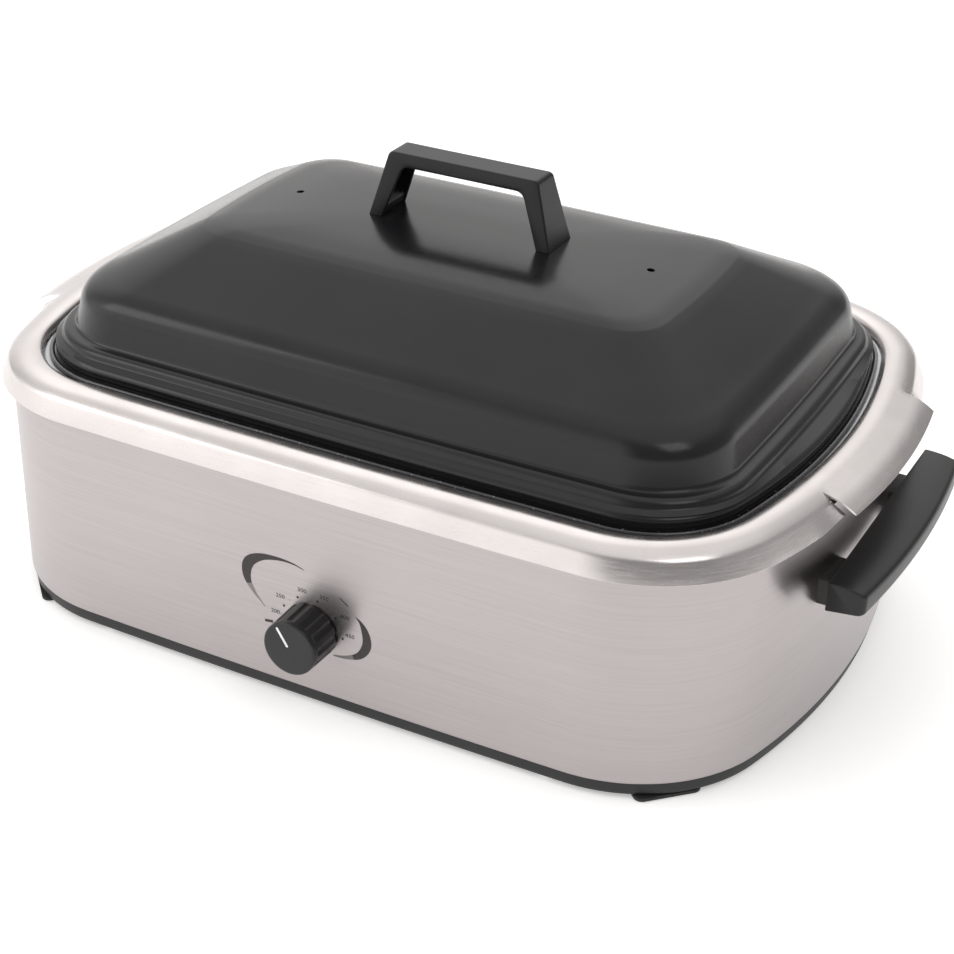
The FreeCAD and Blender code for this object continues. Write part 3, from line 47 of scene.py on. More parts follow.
# ------------------------------------------------------------------ node material helpers


def new_mat(name, base, rough=0.4, metal=0.0, spec=0.5, ior=1.5, coat=0.0, coat_rough=0.1, aniso=0.0, sheen=0.0):
    m = bpy.data.materials.new(name)
    m.use_nodes = True
    nt = m.node_tree
    b = nt.nodes["Principled BSDF"]
    b.inputs["Base Color"].default_value = (*base, 1)
    b.inputs["Roughness"].default_value = rough
    b.inputs["Metallic"].default_value = metal
    b.inputs["Specular IOR Level"].default_value = spec
    b.inputs["IOR"].default_value = ior
    b.inputs["Coat Weight"].default_value = coat
    b.inputs["Coat Roughness"].default_value = coat_rough
    b.inputs["Anisotropic"].default_value = aniso
    b.inputs["Sheen Weight"].default_value = sheen
    return m, nt, b


def coords(nt, scale, rot=(0, 0, 0)):
    tc = nt.nodes.new("ShaderNodeTexCoord")
    mp = nt.nodes.new("ShaderNodeMapping")
    mp.inputs["Scale"].default_value = scale
    mp.inputs["Rotation"].default_value = rot
    nt.links.new(tc.outputs["Object"], mp.inputs["Vector"])
    return mp.outputs["Vector"]


def noise(nt, vec, scale=1.0, detail=3.0, rough=0.5):
    n = nt.nodes.new("ShaderNodeTexNoise")
    n.inputs["Scale"].default_value = scale
    n.inputs["Detail"].default_value = detail
    n.inputs["Roughness"].default_value = rough
    nt.links.new(vec, n.inputs["Vector"])
    return n.outputs["Fac"]


def remap(nt, fac, lo, hi, a=0.3, b=0.7):
    r = nt.nodes.new("ShaderNodeMapRange")
    r.inputs["From Min"].default_value = a
    r.inputs["From Max"].default_value = b
    r.inputs["To Min"].default_value = lo
    r.inputs["To Max"].default_value = hi
    nt.links.new(fac, r.inputs["Value"])
    return r.outputs["Result"]


def mixcol(nt, fac, c0, c1):
    r = nt.nodes.new("ShaderNodeValToRGB")
    r.color_ramp.elements[0].color = (*c0, 1)
    r.color_ramp.elements[1].color = (*c1, 1)
    r.color_ramp.elements[0].position = 0.3
    r.color_ramp.elements[1].position = 0.7
    nt.links.new(fac, r.inputs["Fac"])
    return r.outputs["Color"]


def add_bump(nt, b, height, strength, dist):
    bp = nt.nodes.new("ShaderNodeBump")
    bp.inputs["Strength"].default_value = strength
    bp.inputs["Distance"].default_value = dist
    nt.links.new(height, bp.inputs["Height"])
    nt.links.new(bp.outputs["Normal"], b.inputs["Normal"])


def two(nt, a, b, how="ADD"):
    m = nt.nodes.new("ShaderNodeMath")
    m.operation = how
    nt.links.new(a, m.inputs[0])
    nt.links.new(b, m.inputs[1])
    return m.outputs[0]


def brushed():
    m, nt, b = new_mat("brushed_steel_sheet", (0.53, 0.495, 0.49), 0.3, 1.0, aniso=0.72)
    fine = noise(nt, coords(nt, (14, 14, 2600)), 1.0, 4.0, 0.6)
    mid = noise(nt, coords(nt, (9, 9, 420)), 1.0, 3.0, 0.5)
    big = noise(nt, coords(nt, (7, 7, 9)), 1.0, 2.0, 0.5)
    mix = two(nt, remap(nt, fine, 0.0, 0.6), remap(nt, two(nt, mid, big), 0.14, 0.26, 0.75, 1.25))
    nt.links.new(mixcol(nt, mix, (0.425, 0.393, 0.392), (0.475, 0.442, 0.44)), b.inputs["Base Color"])
    nt.links.new(remap(nt, fine, 0.28, 0.36), b.inputs["Roughness"])
    b.inputs["Anisotropic Rotation"].default_value = 0.25
    t = nt.nodes.new("ShaderNodeTangent")
    t.direction_type = "RADIAL"
    t.axis = "Z"
    nt.links.new(t.outputs["Tangent"], b.inputs["Tangent"])
    add_bump(nt, b, fine, 0.06, 0.0004)
    return m


def satin():
    m, nt, b = new_mat("satin_steel_sheet", (0.66, 0.63, 0.62), 0.25, 1.0)
    big = noise(nt, coords(nt, (26, 26, 26)), 1.0, 3.0, 0.5)
    fine = noise(nt, coords(nt, (60, 60, 900)), 1.0, 3.0, 0.5)
    nt.links.new(mixcol(nt, big, (0.62, 0.585, 0.575), (0.67, 0.635, 0.625)), b.inputs["Base Color"])
    nt.links.new(remap(nt, fine, 0.2, 0.29), b.inputs["Roughness"])
    add_bump(nt, b, big, 0.10, 0.0012)
    return m


def metal(name, base, rough, grain=400.0, strength=0.05, dark=0.85):
    m, nt, b = new_mat(name, base, rough, 1.0)
    f = noise(nt, coords(nt, (grain,) * 3), 1.0, 4.0, 0.6)
    g = noise(nt, coords(nt, (30, 30, 30)), 1.0, 3.0, 0.5)
    nt.links.new(mixcol(nt, g, tuple(c * dark for c in base), base), b.inputs["Base Color"])
    nt.links.new(remap(nt, f, rough * 0.8, rough * 1.25), b.inputs["Roughness"])
    add_bump(nt, b, f, strength, 0.0003)
    return m


def lid_paint():
    m, nt, b = new_mat("lid_black_coat", (0.011, 0.011, 0.0125), 0.24, 0.0, 0.42, 1.47)
    peel = noise(nt, coords(nt, (420, 420, 420)), 1.0, 2.0, 0.5)
    big = noise(nt, coords(nt, (16, 16, 16)), 1.0, 3.0, 0.5)
    nt.links.new(mixcol(nt, big, (0.0075, 0.0073, 0.0085), (0.0105, 0.0102, 0.0115)), b.inputs["Base Color"])
    nt.links.new(remap(nt, two(nt, peel, big), 0.19, 0.25, 0.8, 1.2), b.inputs["Roughness"])
    add_bump(nt, b, peel, 0.035, 0.0004)
    return m


def enamel():
    m, nt, b = new_mat("cookwell_enamel", (0.012, 0.012, 0.014), 0.12, 0.0, 0.5, 1.52, 0.6, 0.06)
    v = nt.nodes.new("ShaderNodeTexVoronoi")
    v.inputs["Scale"].default_value = 1.0
    nt.links.new(coords(nt, (330, 330, 330)), v.inputs["Vector"])
    r = nt.nodes.new("ShaderNodeValToRGB")
    r.color_ramp.elements[0].color = (0.13, 0.135, 0.15, 1)
    r.color_ramp.elements[0].position = 0.13
    r.color_ramp.elements[1].color = (0.011, 0.011, 0.014, 1)
    r.color_ramp.elements[1].position = 0.2
    nt.links.new(v.outputs["Distance"], r.inputs["Fac"])
    nt.links.new(r.outputs["Color"], b.inputs["Base Color"])
    n = noise(nt, coords(nt, (150, 150, 150)), 1.0, 2.0, 0.5)
    nt.links.new(remap(nt, n, 0.09, 0.17), b.inputs["Roughness"])
    add_bump(nt, b, n, 0.05, 0.0005)
    return m


def plastic(name, base, rough, grain=2600.0, strength=0.12, spec=0.5, coat=0.0):
    m, nt, b = new_mat(name, base, rough, 0.0, spec, 1.5, coat, 0.2)
    f = noise(nt, coords(nt, (grain,) * 3), 1.0, 3.0, 0.6)
    g = noise(nt, coords(nt, (45, 45, 45)), 1.0, 3.0, 0.5)
    nt.links.new(mixcol(nt, g, tuple(c * 0.82 for c in base), tuple(c * 1.18 for c in base)), b.inputs["Base Color"])
    nt.links.new(remap(nt, f, rough * 0.85, min(1.0, rough * 1.2)), b.inputs["Roughness"])
    add_bump(nt, b, f, strength, 0.00015)
    return m


def glass_fibre():
    m, nt, b = new_mat("glass_fibre_wrap", (0.8, 0.74, 0.5), 0.95, sheen=0.3)
    f = noise(nt, coords(nt, (220, 220, 900)), 1.0, 6.0, 0.7)
    nt.links.new(mixcol(nt, f, (0.62, 0.55, 0.3), (0.86, 0.8, 0.58)), b.inputs["Base Color"])
    add_bump(nt, b, f, 0.6, 0.002)
    return m


M = {
    "brushed_steel": brushed(),
    "satin_steel": satin(),
    "lid_black": lid_paint(),
    "enamel_black": enamel(),
    "handle_black": plastic("handle_moulding", (0.0085, 0.0085, 0.0098), 0.3, 2600, 0.05, 0.3),
    "grip_black": plastic("grip_moulding", (0.0085, 0.009, 0.0095), 0.34, 2200, 0.06, 0.4),
    "knob_black": plastic("knob_moulding", (0.011, 0.011, 0.0125), 0.3, 2600, 0.05, 0.42),
    "pointer_white": plastic("pointer_white", (0.86, 0.86, 0.86), 0.4, 3000, 0.05),
    "base_black": plastic("base_powder_coat", (0.0135, 0.0125, 0.014), 0.45, 1500, 0.12),
    "foot_black": plastic("foot_rubber", (0.018, 0.018, 0.018), 0.75, 900, 0.3),
    "zinc_steel": metal("zinc_plate", (0.62, 0.63, 0.65), 0.3),
    "galvanised": metal("galvanised_sheet", (0.52, 0.53, 0.55), 0.42, 60.0, 0.06, 0.75),
    "insulation": glass_fibre(),
    "phenolic": plastic("phenolic_dark", (0.02, 0.017, 0.016), 0.5, 1200, 0.12),
    "lead_white": plastic("lead_sleeve", (0.72, 0.7, 0.62), 0.6, 3000, 0.3),
    "chrome_wire": metal("chrome_plate", (0.75, 0.75, 0.77), 0.1, 300.0, 0.02, 0.92),
    "ink": plastic("dial_ink", (0.03, 0.024, 0.024), 0.55, 3000, 0.05),
    "ink_grey": plastic("dial_ink_grey", (0.2, 0.185, 0.18), 0.55, 3000, 0.05),
}

# ------------------------------------------------------------------ mesh helpers (millimetres in, metres out)


def fix(bm):
    bmesh.ops.recalc_face_normals(bm, faces=bm.faces)


def make(name, verts, faces, mat, body, nodes=(), sharp=32.0, recalc=True):
    me = bpy.data.meshes.new(name)
    me.from_pydata([(x * MM, y * MM, z * MM) for x, y, z in verts], [], faces)
    me.validate()
    bm = bmesh.new()
    bm.from_mesh(me)
    bmesh.ops.remove_doubles(bm, verts=bm.verts, dist=1e-6)
    bmesh.ops.dissolve_degenerate(bm, dist=1e-7, edges=bm.edges)
    if recalc:
        fix(bm)
    bm.to_mesh(me)
    bm.free()
    return place(name, me, mat, body, nodes, sharp)


def place(name, me, mat, body, nodes=(), sharp=32.0):
    me.shade_smooth()
    me.set_sharp_from_angle(angle=math.radians(sharp))
    ob = bpy.data.objects.new(name, me)
    SCN.collection.objects.link(ob)
    me.materials.clear()
    me.materials.append(M[mat])
    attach(ob, body)
    if nodes:
        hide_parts(*nodes)
    return ob


def oval_centre(a, b, rc, re, rf):
    fx, fy = 0.0, -b + rf
    ex, ey = a - re, 0.0
    r1, r2 = rf - rc, re - rc
    dx, dy = ex - fx, ey - fy
    dd = math.hypot(dx, dy)
    t = (dd * dd + r1 * r1 - r2 * r2) / (2 * dd)
    h = math.sqrt(max(r1 * r1 - t * t, 1e-12))
    ux, uy = dx / dd, dy / dd
    c = [(fx + ux * t - uy * h, fy + uy * t + ux * h), (fx + ux * t + uy * h, fy + uy * t - ux * h)]
    cx, cy = min((p for p in c if p[0] > 0), key=lambda p: p[1])
    return cx, cy, math.atan2(cy - fy, cx - fx), math.atan2(cy - ey, cx - ex)


def oval(a, b, rc, re, rf, z, nf=8, nc=18, ne=14, ys=None, ns=8):
    cx, cy, af, ae = oval_centre(a, b, rc, re, rf)
    q = []
    for i in range(nf):
        t = -math.pi / 2 + (af + math.pi / 2) * i / nf
        q.append((rf * math.cos(t), -b + rf + rf * math.sin(t)))
    for i in range(nc):
        t = af + (ae - af) * i / nc
        q.append((cx + rc * math.cos(t), cy + rc * math.sin(t)))
    if ys is None:
        for i in range(ne):
            t = ae * (1 - i / ne)
            q.append((a - re + re * math.cos(t), re * math.sin(t)))
    else:
        y2 = re * math.sin(ae)
        yy = [y2 + (-ys - y2) * i / ns for i in range(ns)] + [-ys + ys * i / (ne - ns) for i in range(ne - ns)]
        q += [(a - re + math.sqrt(re * re - y * y), y) for y in yy]
    n = len(q)
    right = [(x, y) for x, y in q] + [(a, 0.0)] + [(x, -y) for x, y in reversed(q[1:])]
    left = [(0.0, b)] + [(-x, -y) for x, y in q[1:]] + [(-a, 0.0)] + [(-x, y) for x, y in reversed(q[1:])]
    return [(x, y, z) for x, y in right + left]


def rounded(levels, closed=False, n=4):
    # levels: (a, b, rc, re, rf, z, d): d is the length over which the corner at this level is rounded
    out = []
    k = len(levels)
    for i, lv in enumerate(levels):
        p, d = lv[:6], lv[6] if len(lv) > 6 else 0.0
        if d <= 0 or (not closed and i in (0, k - 1)):
            out.append(p)
            continue
        pr, nx = levels[i - 1][:6], levels[(i + 1) % k][:6]

        def toward(qv):
            length = math.hypot(qv[0] - p[0], qv[5] - p[5])
            t = min(d / max(length, 1e-6), 0.49)
            return tuple(u + (v - u) * t for u, v in zip(p, qv))
        s, e = toward(pr), toward(nx)
        for j in range(n + 1):
            t = j / n
            out.append(tuple((1 - t) ** 2 * u + 2 * t * (1 - t) * v + t * t * w for u, v, w in zip(s, p, e)))
    return out


def loft(levels, ring, **kw):
    rows = [oval(*lv, **kw) for lv in levels]
    m = len(rows[0])
    verts = [p for r in rows for p in r]
    faces = []
    k = len(rows)
    for i in range(k if ring else k - 1):
        i2 = (i + 1) % k
        for j in range(m):
            j2 = (j + 1) % m
            faces.append((i * m + j, i * m + j2, i2 * m + j2, i2 * m + j))
    if not ring:
        faces.append(tuple(range(m)))
        faces.append(tuple((k - 1) * m + j for j in range(m)))
    return verts, faces


def lathe(profile, centre, axis, seg=48, cap=(True, True)):
    # profile: (r, t) with t along axis
    ax = Vector(axis).normalized()
    u = ax.orthogonal().normalized()
    v = ax.cross(u)
    c = Vector(centre)
    verts, faces = [], []
    for r, t in profile:
        for i in range(seg):
            a = 2 * math.pi * i / seg
            verts.append(tuple(c + ax * t + (u * math.cos(a) + v * math.sin(a)) * r))
    for k in range(len(profile) - 1):
        for i in range(seg):
            j = (i + 1) % seg
            faces.append((k * seg + i, k * seg + j, (k + 1) * seg + j, (k + 1) * seg + i))
    if cap[0]:
        faces.append(tuple(range(seg)))
    if cap[1]:
        faces.append(tuple((len(profile) - 1) * seg + i for i in range(seg)))
    return verts, faces


def join(parts):
    verts, faces = [], []
    for v, f in parts:
        o = len(verts)
        verts += v
        faces += [tuple(i + o for i in q) for q in f]
    return verts, faces


def tube(points, r, closed=False, seg=14, taper=0.0):
    pts = [Vector(p) for p in points]
    n = len(pts)
    verts, faces = [], []
    up = None
    for i, p in enumerate(pts):
        if closed:
            d = (pts[(i + 1) % n] - pts[i - 1]).normalized()
        else:
            d = (pts[min(i + 1, n - 1)] - pts[max(i - 1, 0)]).normalized()
        if up is None:
            up = d.orthogonal().normalized()
        up = (up - d * up.dot(d)).normalized()
        w = d.cross(up)
        for k in range(seg):
            a = 2 * math.pi * k / seg
            verts.append(tuple(p + (up * math.cos(a) + w * math.sin(a)) * r))
    for i in range(n if closed else n - 1):
        i2 = (i + 1) % n
        for k in range(seg):
            k2 = (k + 1) % seg
            faces.append((i * seg + k, i * seg + k2, i2 * seg + k2, i2 * seg + k))
    if not closed:
        faces.append(tuple(range(seg)))
        faces.append(tuple((n - 1) * seg + k for k in range(seg)))
    return verts, faces


def cutter(verts, faces):
    me = bpy.data.meshes.new("cutter")
    me.from_pydata([(x * MM, y * MM, z * MM) for x, y, z in verts], [], faces)
    bm = bmesh.new()
    bm.from_mesh(me)
    fix(bm)
    bm.to_mesh(me)
    bm.free()
    ob = bpy.data.objects.new("cutter", me)
    SCN.collection.objects.link(ob)
    return ob


def punch(ob, cutters):
    # cut holes and keep the smooth surface's own normals round them
    me = ob.data
    verts = [v.co.copy() for v in me.vertices]
    polys = [tuple(p.vertices) for p in me.polygons]
    pn = [p.normal.copy() for p in me.polygons]
    cn = [[me.corner_normals[li].vector.copy() for li in p.loop_indices] for p in me.polygons]
    tree = BVHTree.FromPolygons(verts, polys)
    for c in cutters:
        mod = ob.modifiers.new("cut", "BOOLEAN")
        mod.operation = "DIFFERENCE"
        mod.solver = "EXACT"
        mod.object = c
    dg = bpy.context.evaluated_depsgraph_get()
    new = bpy.data.meshes.new_from_object(ob.evaluated_get(dg))
    ob.modifiers.clear()
    mats = list(me.materials)
    ob.data = new
    new.materials.clear()
    for mt in mats:
        new.materials.append(mt)
    for c in cutters:
        bpy.data.objects.remove(c)
    normals = [Vector((0, 0, 0))] * len(new.loops)
    for p in new.polygons:
        mid = p.center
        hit = tree.find_nearest(mid)
        on = hit[0] is not None and hit[3] < 2e-5 and abs(pn[hit[2]].dot(p.normal)) > 0.9
        for li in p.loop_indices:
            nrm = p.normal.copy()
            if on:
                co = new.vertices[new.loops[li].vertex_index].co
                h = tree.find_nearest(co + (mid - co) * 0.002)
                if h[0] is not None and h[3] < 2e-5:
                    pv = [verts[i] for i in polys[h[2]]]
                    if len(pv) <= 4:
                        w = interpolate.poly_3d_calc(pv, h[0])
                        acc = Vector((0, 0, 0))
                        for wi, ci in zip(w, cn[h[2]]):
                            acc += ci * wi
                        if acc.length > 1e-6:
                            nrm = acc.normalized()
                    else:
                        nrm = pn[h[2]]
            normals[li] = nrm
    new.normals_split_custom_set(normals)
    return ob


def prism_y(poly, y0, y1):
    k = len(poly)
    v = [(x, y0, z) for x, z in poly] + [(x, y1, z) for x, z in poly]
    f = [tuple(range(k)), tuple(range(k, 2 * k))] + [(i, (i + 1) % k, k + (i + 1) % k, k + i) for i in range(k)]
    return v, f


def bez(p0, p1, p2, n):
    return [tuple((1 - t) ** 2 * a + 2 * t * (1 - t) * b + t * t * c for a, b, c in zip(p0, p1, p2)) for t in [i / n for i in range(n + 1)]]


SIGNS = ((1, 1), (1, -1), (-1, 1), (-1, -1))

# ------------------------------------------------------------------ outer shell

FOOT = (267.5, 187.5, 93.5, 435.0, RF, 11.2)
HEAD = (267.5, 191.5, 94.5, 435.0, RF, 150.0)


def ins(lv, t, dz=0.0, d=0.0):
    a, b, rc, re, rf, z = lv[:6]
    return (a - t, b - t, rc - t, re - t, rf - t, z + dz, d)


shell_levels = rounded([
    ins(FOOT, 13.0), ins(FOOT, 0, 0, 1.5), ins(HEAD, 0, 0, 0.3), ins(HEAD, 0.8, 0, 0.3), ins(FOOT, 0.8, 0.8, 0.8), ins(FOOT, 13.0, 0.8)], True, 4)
v, f = loft(shell_levels, True, nf=24, nc=44, ne=24)
shell = make("outer_shell_sheet", v, f, "brushed_steel", "base", ("outer_shell",))
hole = cutter(*lathe([(7.2, 0), (7.2, 30)], (-150, 170, 23), (0, 1, 0), 32))
punch(shell, [hole])


def shell_y(x, z):
    return 187.5 + 4.0 * (z - 11.2) / 138.8 - x * x / (2 * RF)


# ------------------------------------------------------------------ rim collar with its two ledges
SK = (277.0, 194.2, 96.0, 400.0, RF, 145.0)
CR = (270.0, 190.4, 90.5, 420.0, RF, 157.0)
C2 = (264.5, 185.6, 86.0, 430.0, RF, 160.8)
C3 = (257.5, 178.5, 79.5, 445.0, RF, 162.8)
C4 = (251.6, 172.5, 73.8, 452.0, RF, 162.4)
CI = (248.8, 169.7, 71.3, 455.0, RF, 161.0)
C6 = (247.2, 168.1, 69.8, 453.0, RF, 158.2)
C7 = (246.3, 167.2, 68.9, 452.0, RF, 156.3)
E0 = (265.6, 186.7, 86.0, 428.0, RF, 160.5)
E1 = (276.5, 190.0, 90.0, 440.0, RF, 157.6)
E2 = (283.0, 198.0, 98.0, 470.0, RF, 153.5)
E3 = (284.5, 199.5, 99.0, 470.0, RF, 152.2)
TC = 1.0
EY = 71.0
crown_top = rounded([C2 + (0,), C3 + (4.0,), C4 + (2.6,), CI + (1.2,), C6 + (1.4,), C7 + (0,)], False, 4)
crown_low = rounded([ins(C7, -TC), ins(C6, -TC, 0, 1.2), ins(CI, -TC, -0.5, 1.0), ins(C4, -0.4, -TC, 2.0), ins(C3, 0, -TC, 3.5), ins(C2, 0.5, -TC)], False, 3)
skirt_top = rounded([ins(SK, 0.35, 0.02), SK + (0.25,), CR + (1.9,), C2 + (0,)], False, 5)[:-1]
skirt_low = rounded([ins(C2, 0.5, -TC), ins(CR, TC, -0.5, 1.2), ins(SK, TC, 0.1, 0.2), ins(SK, 0.6, 0.0)], False, 3)[1:]
ear_top = rounded([ins(E3, 0.5, -0.12), E3 + (0.3,), E2 + (1.4,), E1 + (5.0,), C2 + (0,)], False, 5)[:-1]
ear_low = rounded([ins(C2, 0.5, -TC), ins(E1, 0.5, -TC, 4.0), ins(E2, 0.9, -0.9, 1.0), ins(E3, 1.0, -0.2, 0.2)], False, 3)[1:]
KW = dict(nf=24, nc=44, ne=26, ys=EY, ns=12)
Q1 = 24 + 44 + 12            # index of the column at y = -EY in the first quarter
NQ = 24 + 44 + 26
ncol = 4 * NQ


def col_kind(j):
    # skirt or ledge, for the strip between column j and the next one
    qd, r = divmod(j, NQ)
    if qd % 2 == 0:
        return "ear" if r >= Q1 else "skirt"
    return "ear" if r < NQ - Q1 else "skirt"


def pull(p, edge):
    # close to a ledge the skirt's lower edge rises and swings out
    x, y, z = p
    if abs(x) < 200:
        return p
    t = max(0.0, 1.0 - (abs(y) - EY) / 22.0)
    t = t * t * (3 - 2 * t) * edge
    s = 1 if x > 0 else -1
    return (x + s * 2.4 * t, y, z + 5.8 * t)


rows_top = [oval(*lv, **KW) for lv in crown_top]
rows_low = [oval(*lv, **KW) for lv in crown_low]
st = [oval(*lv[:6], **KW) for lv in skirt_top]
sl = [oval(*lv[:6], **KW) for lv in skirt_low]
et = [oval(*lv[:6], **KW) for lv in ear_top]
el = [oval(*lv[:6], **KW) for lv in ear_low]
zc, zs = CR[5], SK[5]


def pulled(rows):
    return [[pull(p, max(0.0, min(1.0, (zc - 1.0 - p[2]) / (zc - 1.0 - zs)))) for p in r] for r in rows]


st, sl = pulled(st), pulled(sl)
verts, faces = [], []


def put(rows):
    base = len(verts)
    for r in rows:
        verts.extend(r)
    return [[base + i * ncol + j for j in range(ncol)] for i in range(len(rows))]


it, il = put(rows_top), put(rows_low)


def strip(upper, lower):
    # triangles between the two skins along the sheet's cut end
    def run(ids):
        acc = [0.0]
        for p, q in zip(ids, ids[1:]):
            acc.append(acc[-1] + math.dist(verts[p], verts[q]))
        return [t / acc[-1] for t in acc]
    tu, tl = run(upper), run(lower)
    i = k = 0
    out = []
    while i < len(upper) - 1 or k < len(lower) - 1:
        if k == len(lower) - 1 or (i < len(upper) - 1 and tu[i + 1] <= tl[k + 1]):
            out.append((upper[i], upper[i + 1], lower[k]))
            i += 1
        else:
            out.append((upper[i], lower[k + 1], lower[k]))
            k += 1
    return out


ist, isl, iet, iel = put(st), put(sl), put(et), put(el)
for j in range(ncol):
    j2 = (j + 1) % ncol
    a_, b_ = (ist, isl) if col_kind(j) == "skirt" else (iet, iel)
    ring = a_ + it + il + b_
    k = len(ring)
    for i in range(k):
        i2 = (i + 1) % k
        faces.append((ring[i][j], ring[i][j2], ring[i2][j2], ring[i2][j]))
    if col_kind(j) != col_kind(j2):
        for a2, b2 in ((ist, isl), (iet, iel)):
            faces.extend(strip([r[j2] for r in a2] + [it[0][j2]], [r[j2] for r in reversed(b2)] + [il[-1][j2]]))
used = sorted({i for q in faces for i in q})
idx = {o: n_ for n_, o in enumerate(used)}
make("rim_collar_sheet", [verts[i] for i in used], [tuple(idx[i] for i in q) for q in faces], "satin_steel", "base", ("rim_collar",), sharp=34)

# ------------------------------------------------------------------ heating well and cookwell
wa, wb, wr, WE, ts = 240.0, 160.0, 64.0, 449.0, 0.8
well = rounded([
    (wa - 14, wb - 14, wr - 14, WE - 14, RF, 22.0, 0), (wa - 4, wb - 4, wr - 4, WE - 4, RF, 26.0, 3), (wa, wb, wr, WE, RF, 36.0, 4),
    (wa, wb, wr, WE, RF, 155.2, 1.2), (wa + 21, wb + 23, wr + 20, WE + 10, RF, 155.2, 0), (wa + 21, wb + 23, wr + 20, WE + 10, RF, 156.0, 0),
    (wa - ts, wb - ts, wr - ts, WE - ts, RF, 156.0, 1.6), (wa - ts, wb - ts, wr - ts, WE - ts, RF, 36.0, 4),
    (wa - 4.6, wb - 4.6, wr - 4, WE - 4, RF, 26.6, 3), (wa - 14, wb - 14, wr - 14, WE - 14, RF, 22.8, 0)], False, 4)
v, f = loft(well, False, nf=10, nc=24, ne=14)
make("heating_well_sheet", v, f, "galvanised", "base", ("heating_well",))

pa, pb, pr, PE, pt = 234.0, 154.0, 60.0, 443.0, 1.2
z0, z1 = 26.6, 156.3
FR = (244.7, 163.8, 67.5, 449.0, RF)


def fr(z, t=0.0, d=0.0):
    return (FR[0] - t, FR[1] - t, FR[2] - t, FR[3] - t, RF, z, d)


pan = rounded([
    (pa - 24, pb - 24, pr - 20, PE - 20, RF, z0, 0), (pa - 13, pb - 13, pr - 10, PE - 10, RF, z0 + 5, 5), (pa - 7, pb - 7, pr - 6, PE - 6, RF, z0 + 17, 6),
    (pa, pb, pr, PE, RF, z1 - 3.5, 2), (pa + 1.2, pb + 1.2, pr + 1, PE + 1, RF, z1, 1.2), fr(z1, 0.6, 0.5), fr(z1 + 1.0, 0, 0.9), fr(z1 + 2.4, 0.5, 0.8),
    fr(z1 + 2.4, 2.2, 0.8), fr(z1 + 1.2, 3.2, 0.5), (pa + 1.2 - pt, pb + 1.2 - pt, pr, PE, RF, z1 + pt, 1.5), (pa - pt, pb - pt, pr - pt, PE, RF, z1 - 3.5, 2),
    (pa - 7 - pt, pb - 7 - pt, pr - 7, PE - 7, RF, z0 + 17, 6), (pa - 14, pb - 14, pr - 11, PE - 10, RF, z0 + 5.7, 5), (pa - 24, pb - 24, pr - 20, PE - 20, RF, z0 + pt, 0)], False, 5)
v, f = loft(pan, False, nf=10, nc=28, ne=16)
make("cookwell_enamelled", v, f, "enamel_black", "cookwell", ("cookwell_pan",))

# ------------------------------------------------------------------ base pan, feet and screws below
B0 = (265.8, 185.8, 91.8, 433.0, RF)


def bl(z, t=0.0, d=0.0):
    return (B0[0] - t, B0[1] - t, B0[2] - t, B0[3] - t, RF - t, z, d)


base = rounded([bl(2.5, 60), bl(2.5, 26, 1.5), bl(4.0, 23, 1.5), bl(4.0, 9, 1.5), bl(2.5, 6, 1.5), bl(2.5, 0.0, 2.4), bl(11.15, 0.0, 0.4), bl(11.15, 2.2, 0.4), bl(6.0, 2.2, 1.5), bl(5.6, 60)], False, 4)
v, f = loft(base, False, nf=10, nc=28, ne=16)
make("base_pan_pressing", v, f, "base_black", "base", ("base_pan",))

parts = []
for sx, sy in SIGNS:
    ang = math.radians({(1, 1): 135, (1, -1): 45, (-1, 1): 45, (-1, -1): 135}[(sx, sy)])
    ring = []
    for z, t in ((0.0, 0.7), (0.35, 0.15), (0.8, 0.0), (2.5, 0.0)):
        row = []
        for cxx, cyy, a0 in ((1, 1, 0), (-1, 1, 90), (-1, -1, 180), (1, -1, 270)):
            for k in range(7):
                a = math.radians(a0 + 15 * k)
                x = cxx * (20 - 5) + (5 - t) * math.cos(a)
                y = cyy * (7.5 - 5) + (5 - t) * math.sin(a)
                row.append((sx * 214 + x * math.cos(ang) - y * math.sin(ang), sy * 158 + x * math.sin(ang) + y * math.cos(ang), z))
        ring.append(row)
    m = len(ring[0])
    vv = [p for r in ring for p in r]
    ff = [(i * m + j, i * m + (j + 1) % m, (i + 1) * m + (j + 1) % m, (i + 1) * m + j) for i in range(3) for j in range(m)]
    ff += [tuple(range(m)), tuple(3 * m + j for j in range(m))]
    parts.append((vv, ff))
v, f = join(parts)
make("base_foot_pads", v, f, "foot_black", "base", ("base_feet",))


def screw(c, axis, r_head, h_head, r_shank, l_shank):
    # axis points from the head into the work; the head's crown has a cross recess
    ax = Vector(axis)
    prof = [(0.0, -h_head * 0.62), (0.9, -h_head * 0.62), (1.15, -h_head * 0.97), (1.5, -h_head), (r_head * 0.55, -h_head * 0.97), (r_head * 0.85, -h_head * 0.72),
            (r_head, -h_head * 0.3), (r_head, 0.0), (r_shank, 0.0), (r_shank, l_shank - 0.4), (r_shank - 0.4, l_shank)]
    vv, ff = lathe(prof, c, axis, 24, (True, True))
    u = ax.orthogonal().normalized()
    w = ax.cross(u)
    # four-lobed recess rim: pull the recess ring out along two directions
    cv = Vector(c)
    out = []
    for i, p in enumerate(vv):
        ring = i // 24
        if ring in (1, 2):
            d = Vector(p) - cv
            rad = d - ax * d.dot(ax)
            a = math.atan2(rad.dot(w), rad.dot(u))
            k = 1.0 + 0.75 * max(0.0, math.cos(4 * a)) ** 2
            d2 = ax * d.dot(ax) + rad * k
            out.append(tuple(cv + d2))
        else:
            out.append(p)
    return out, ff


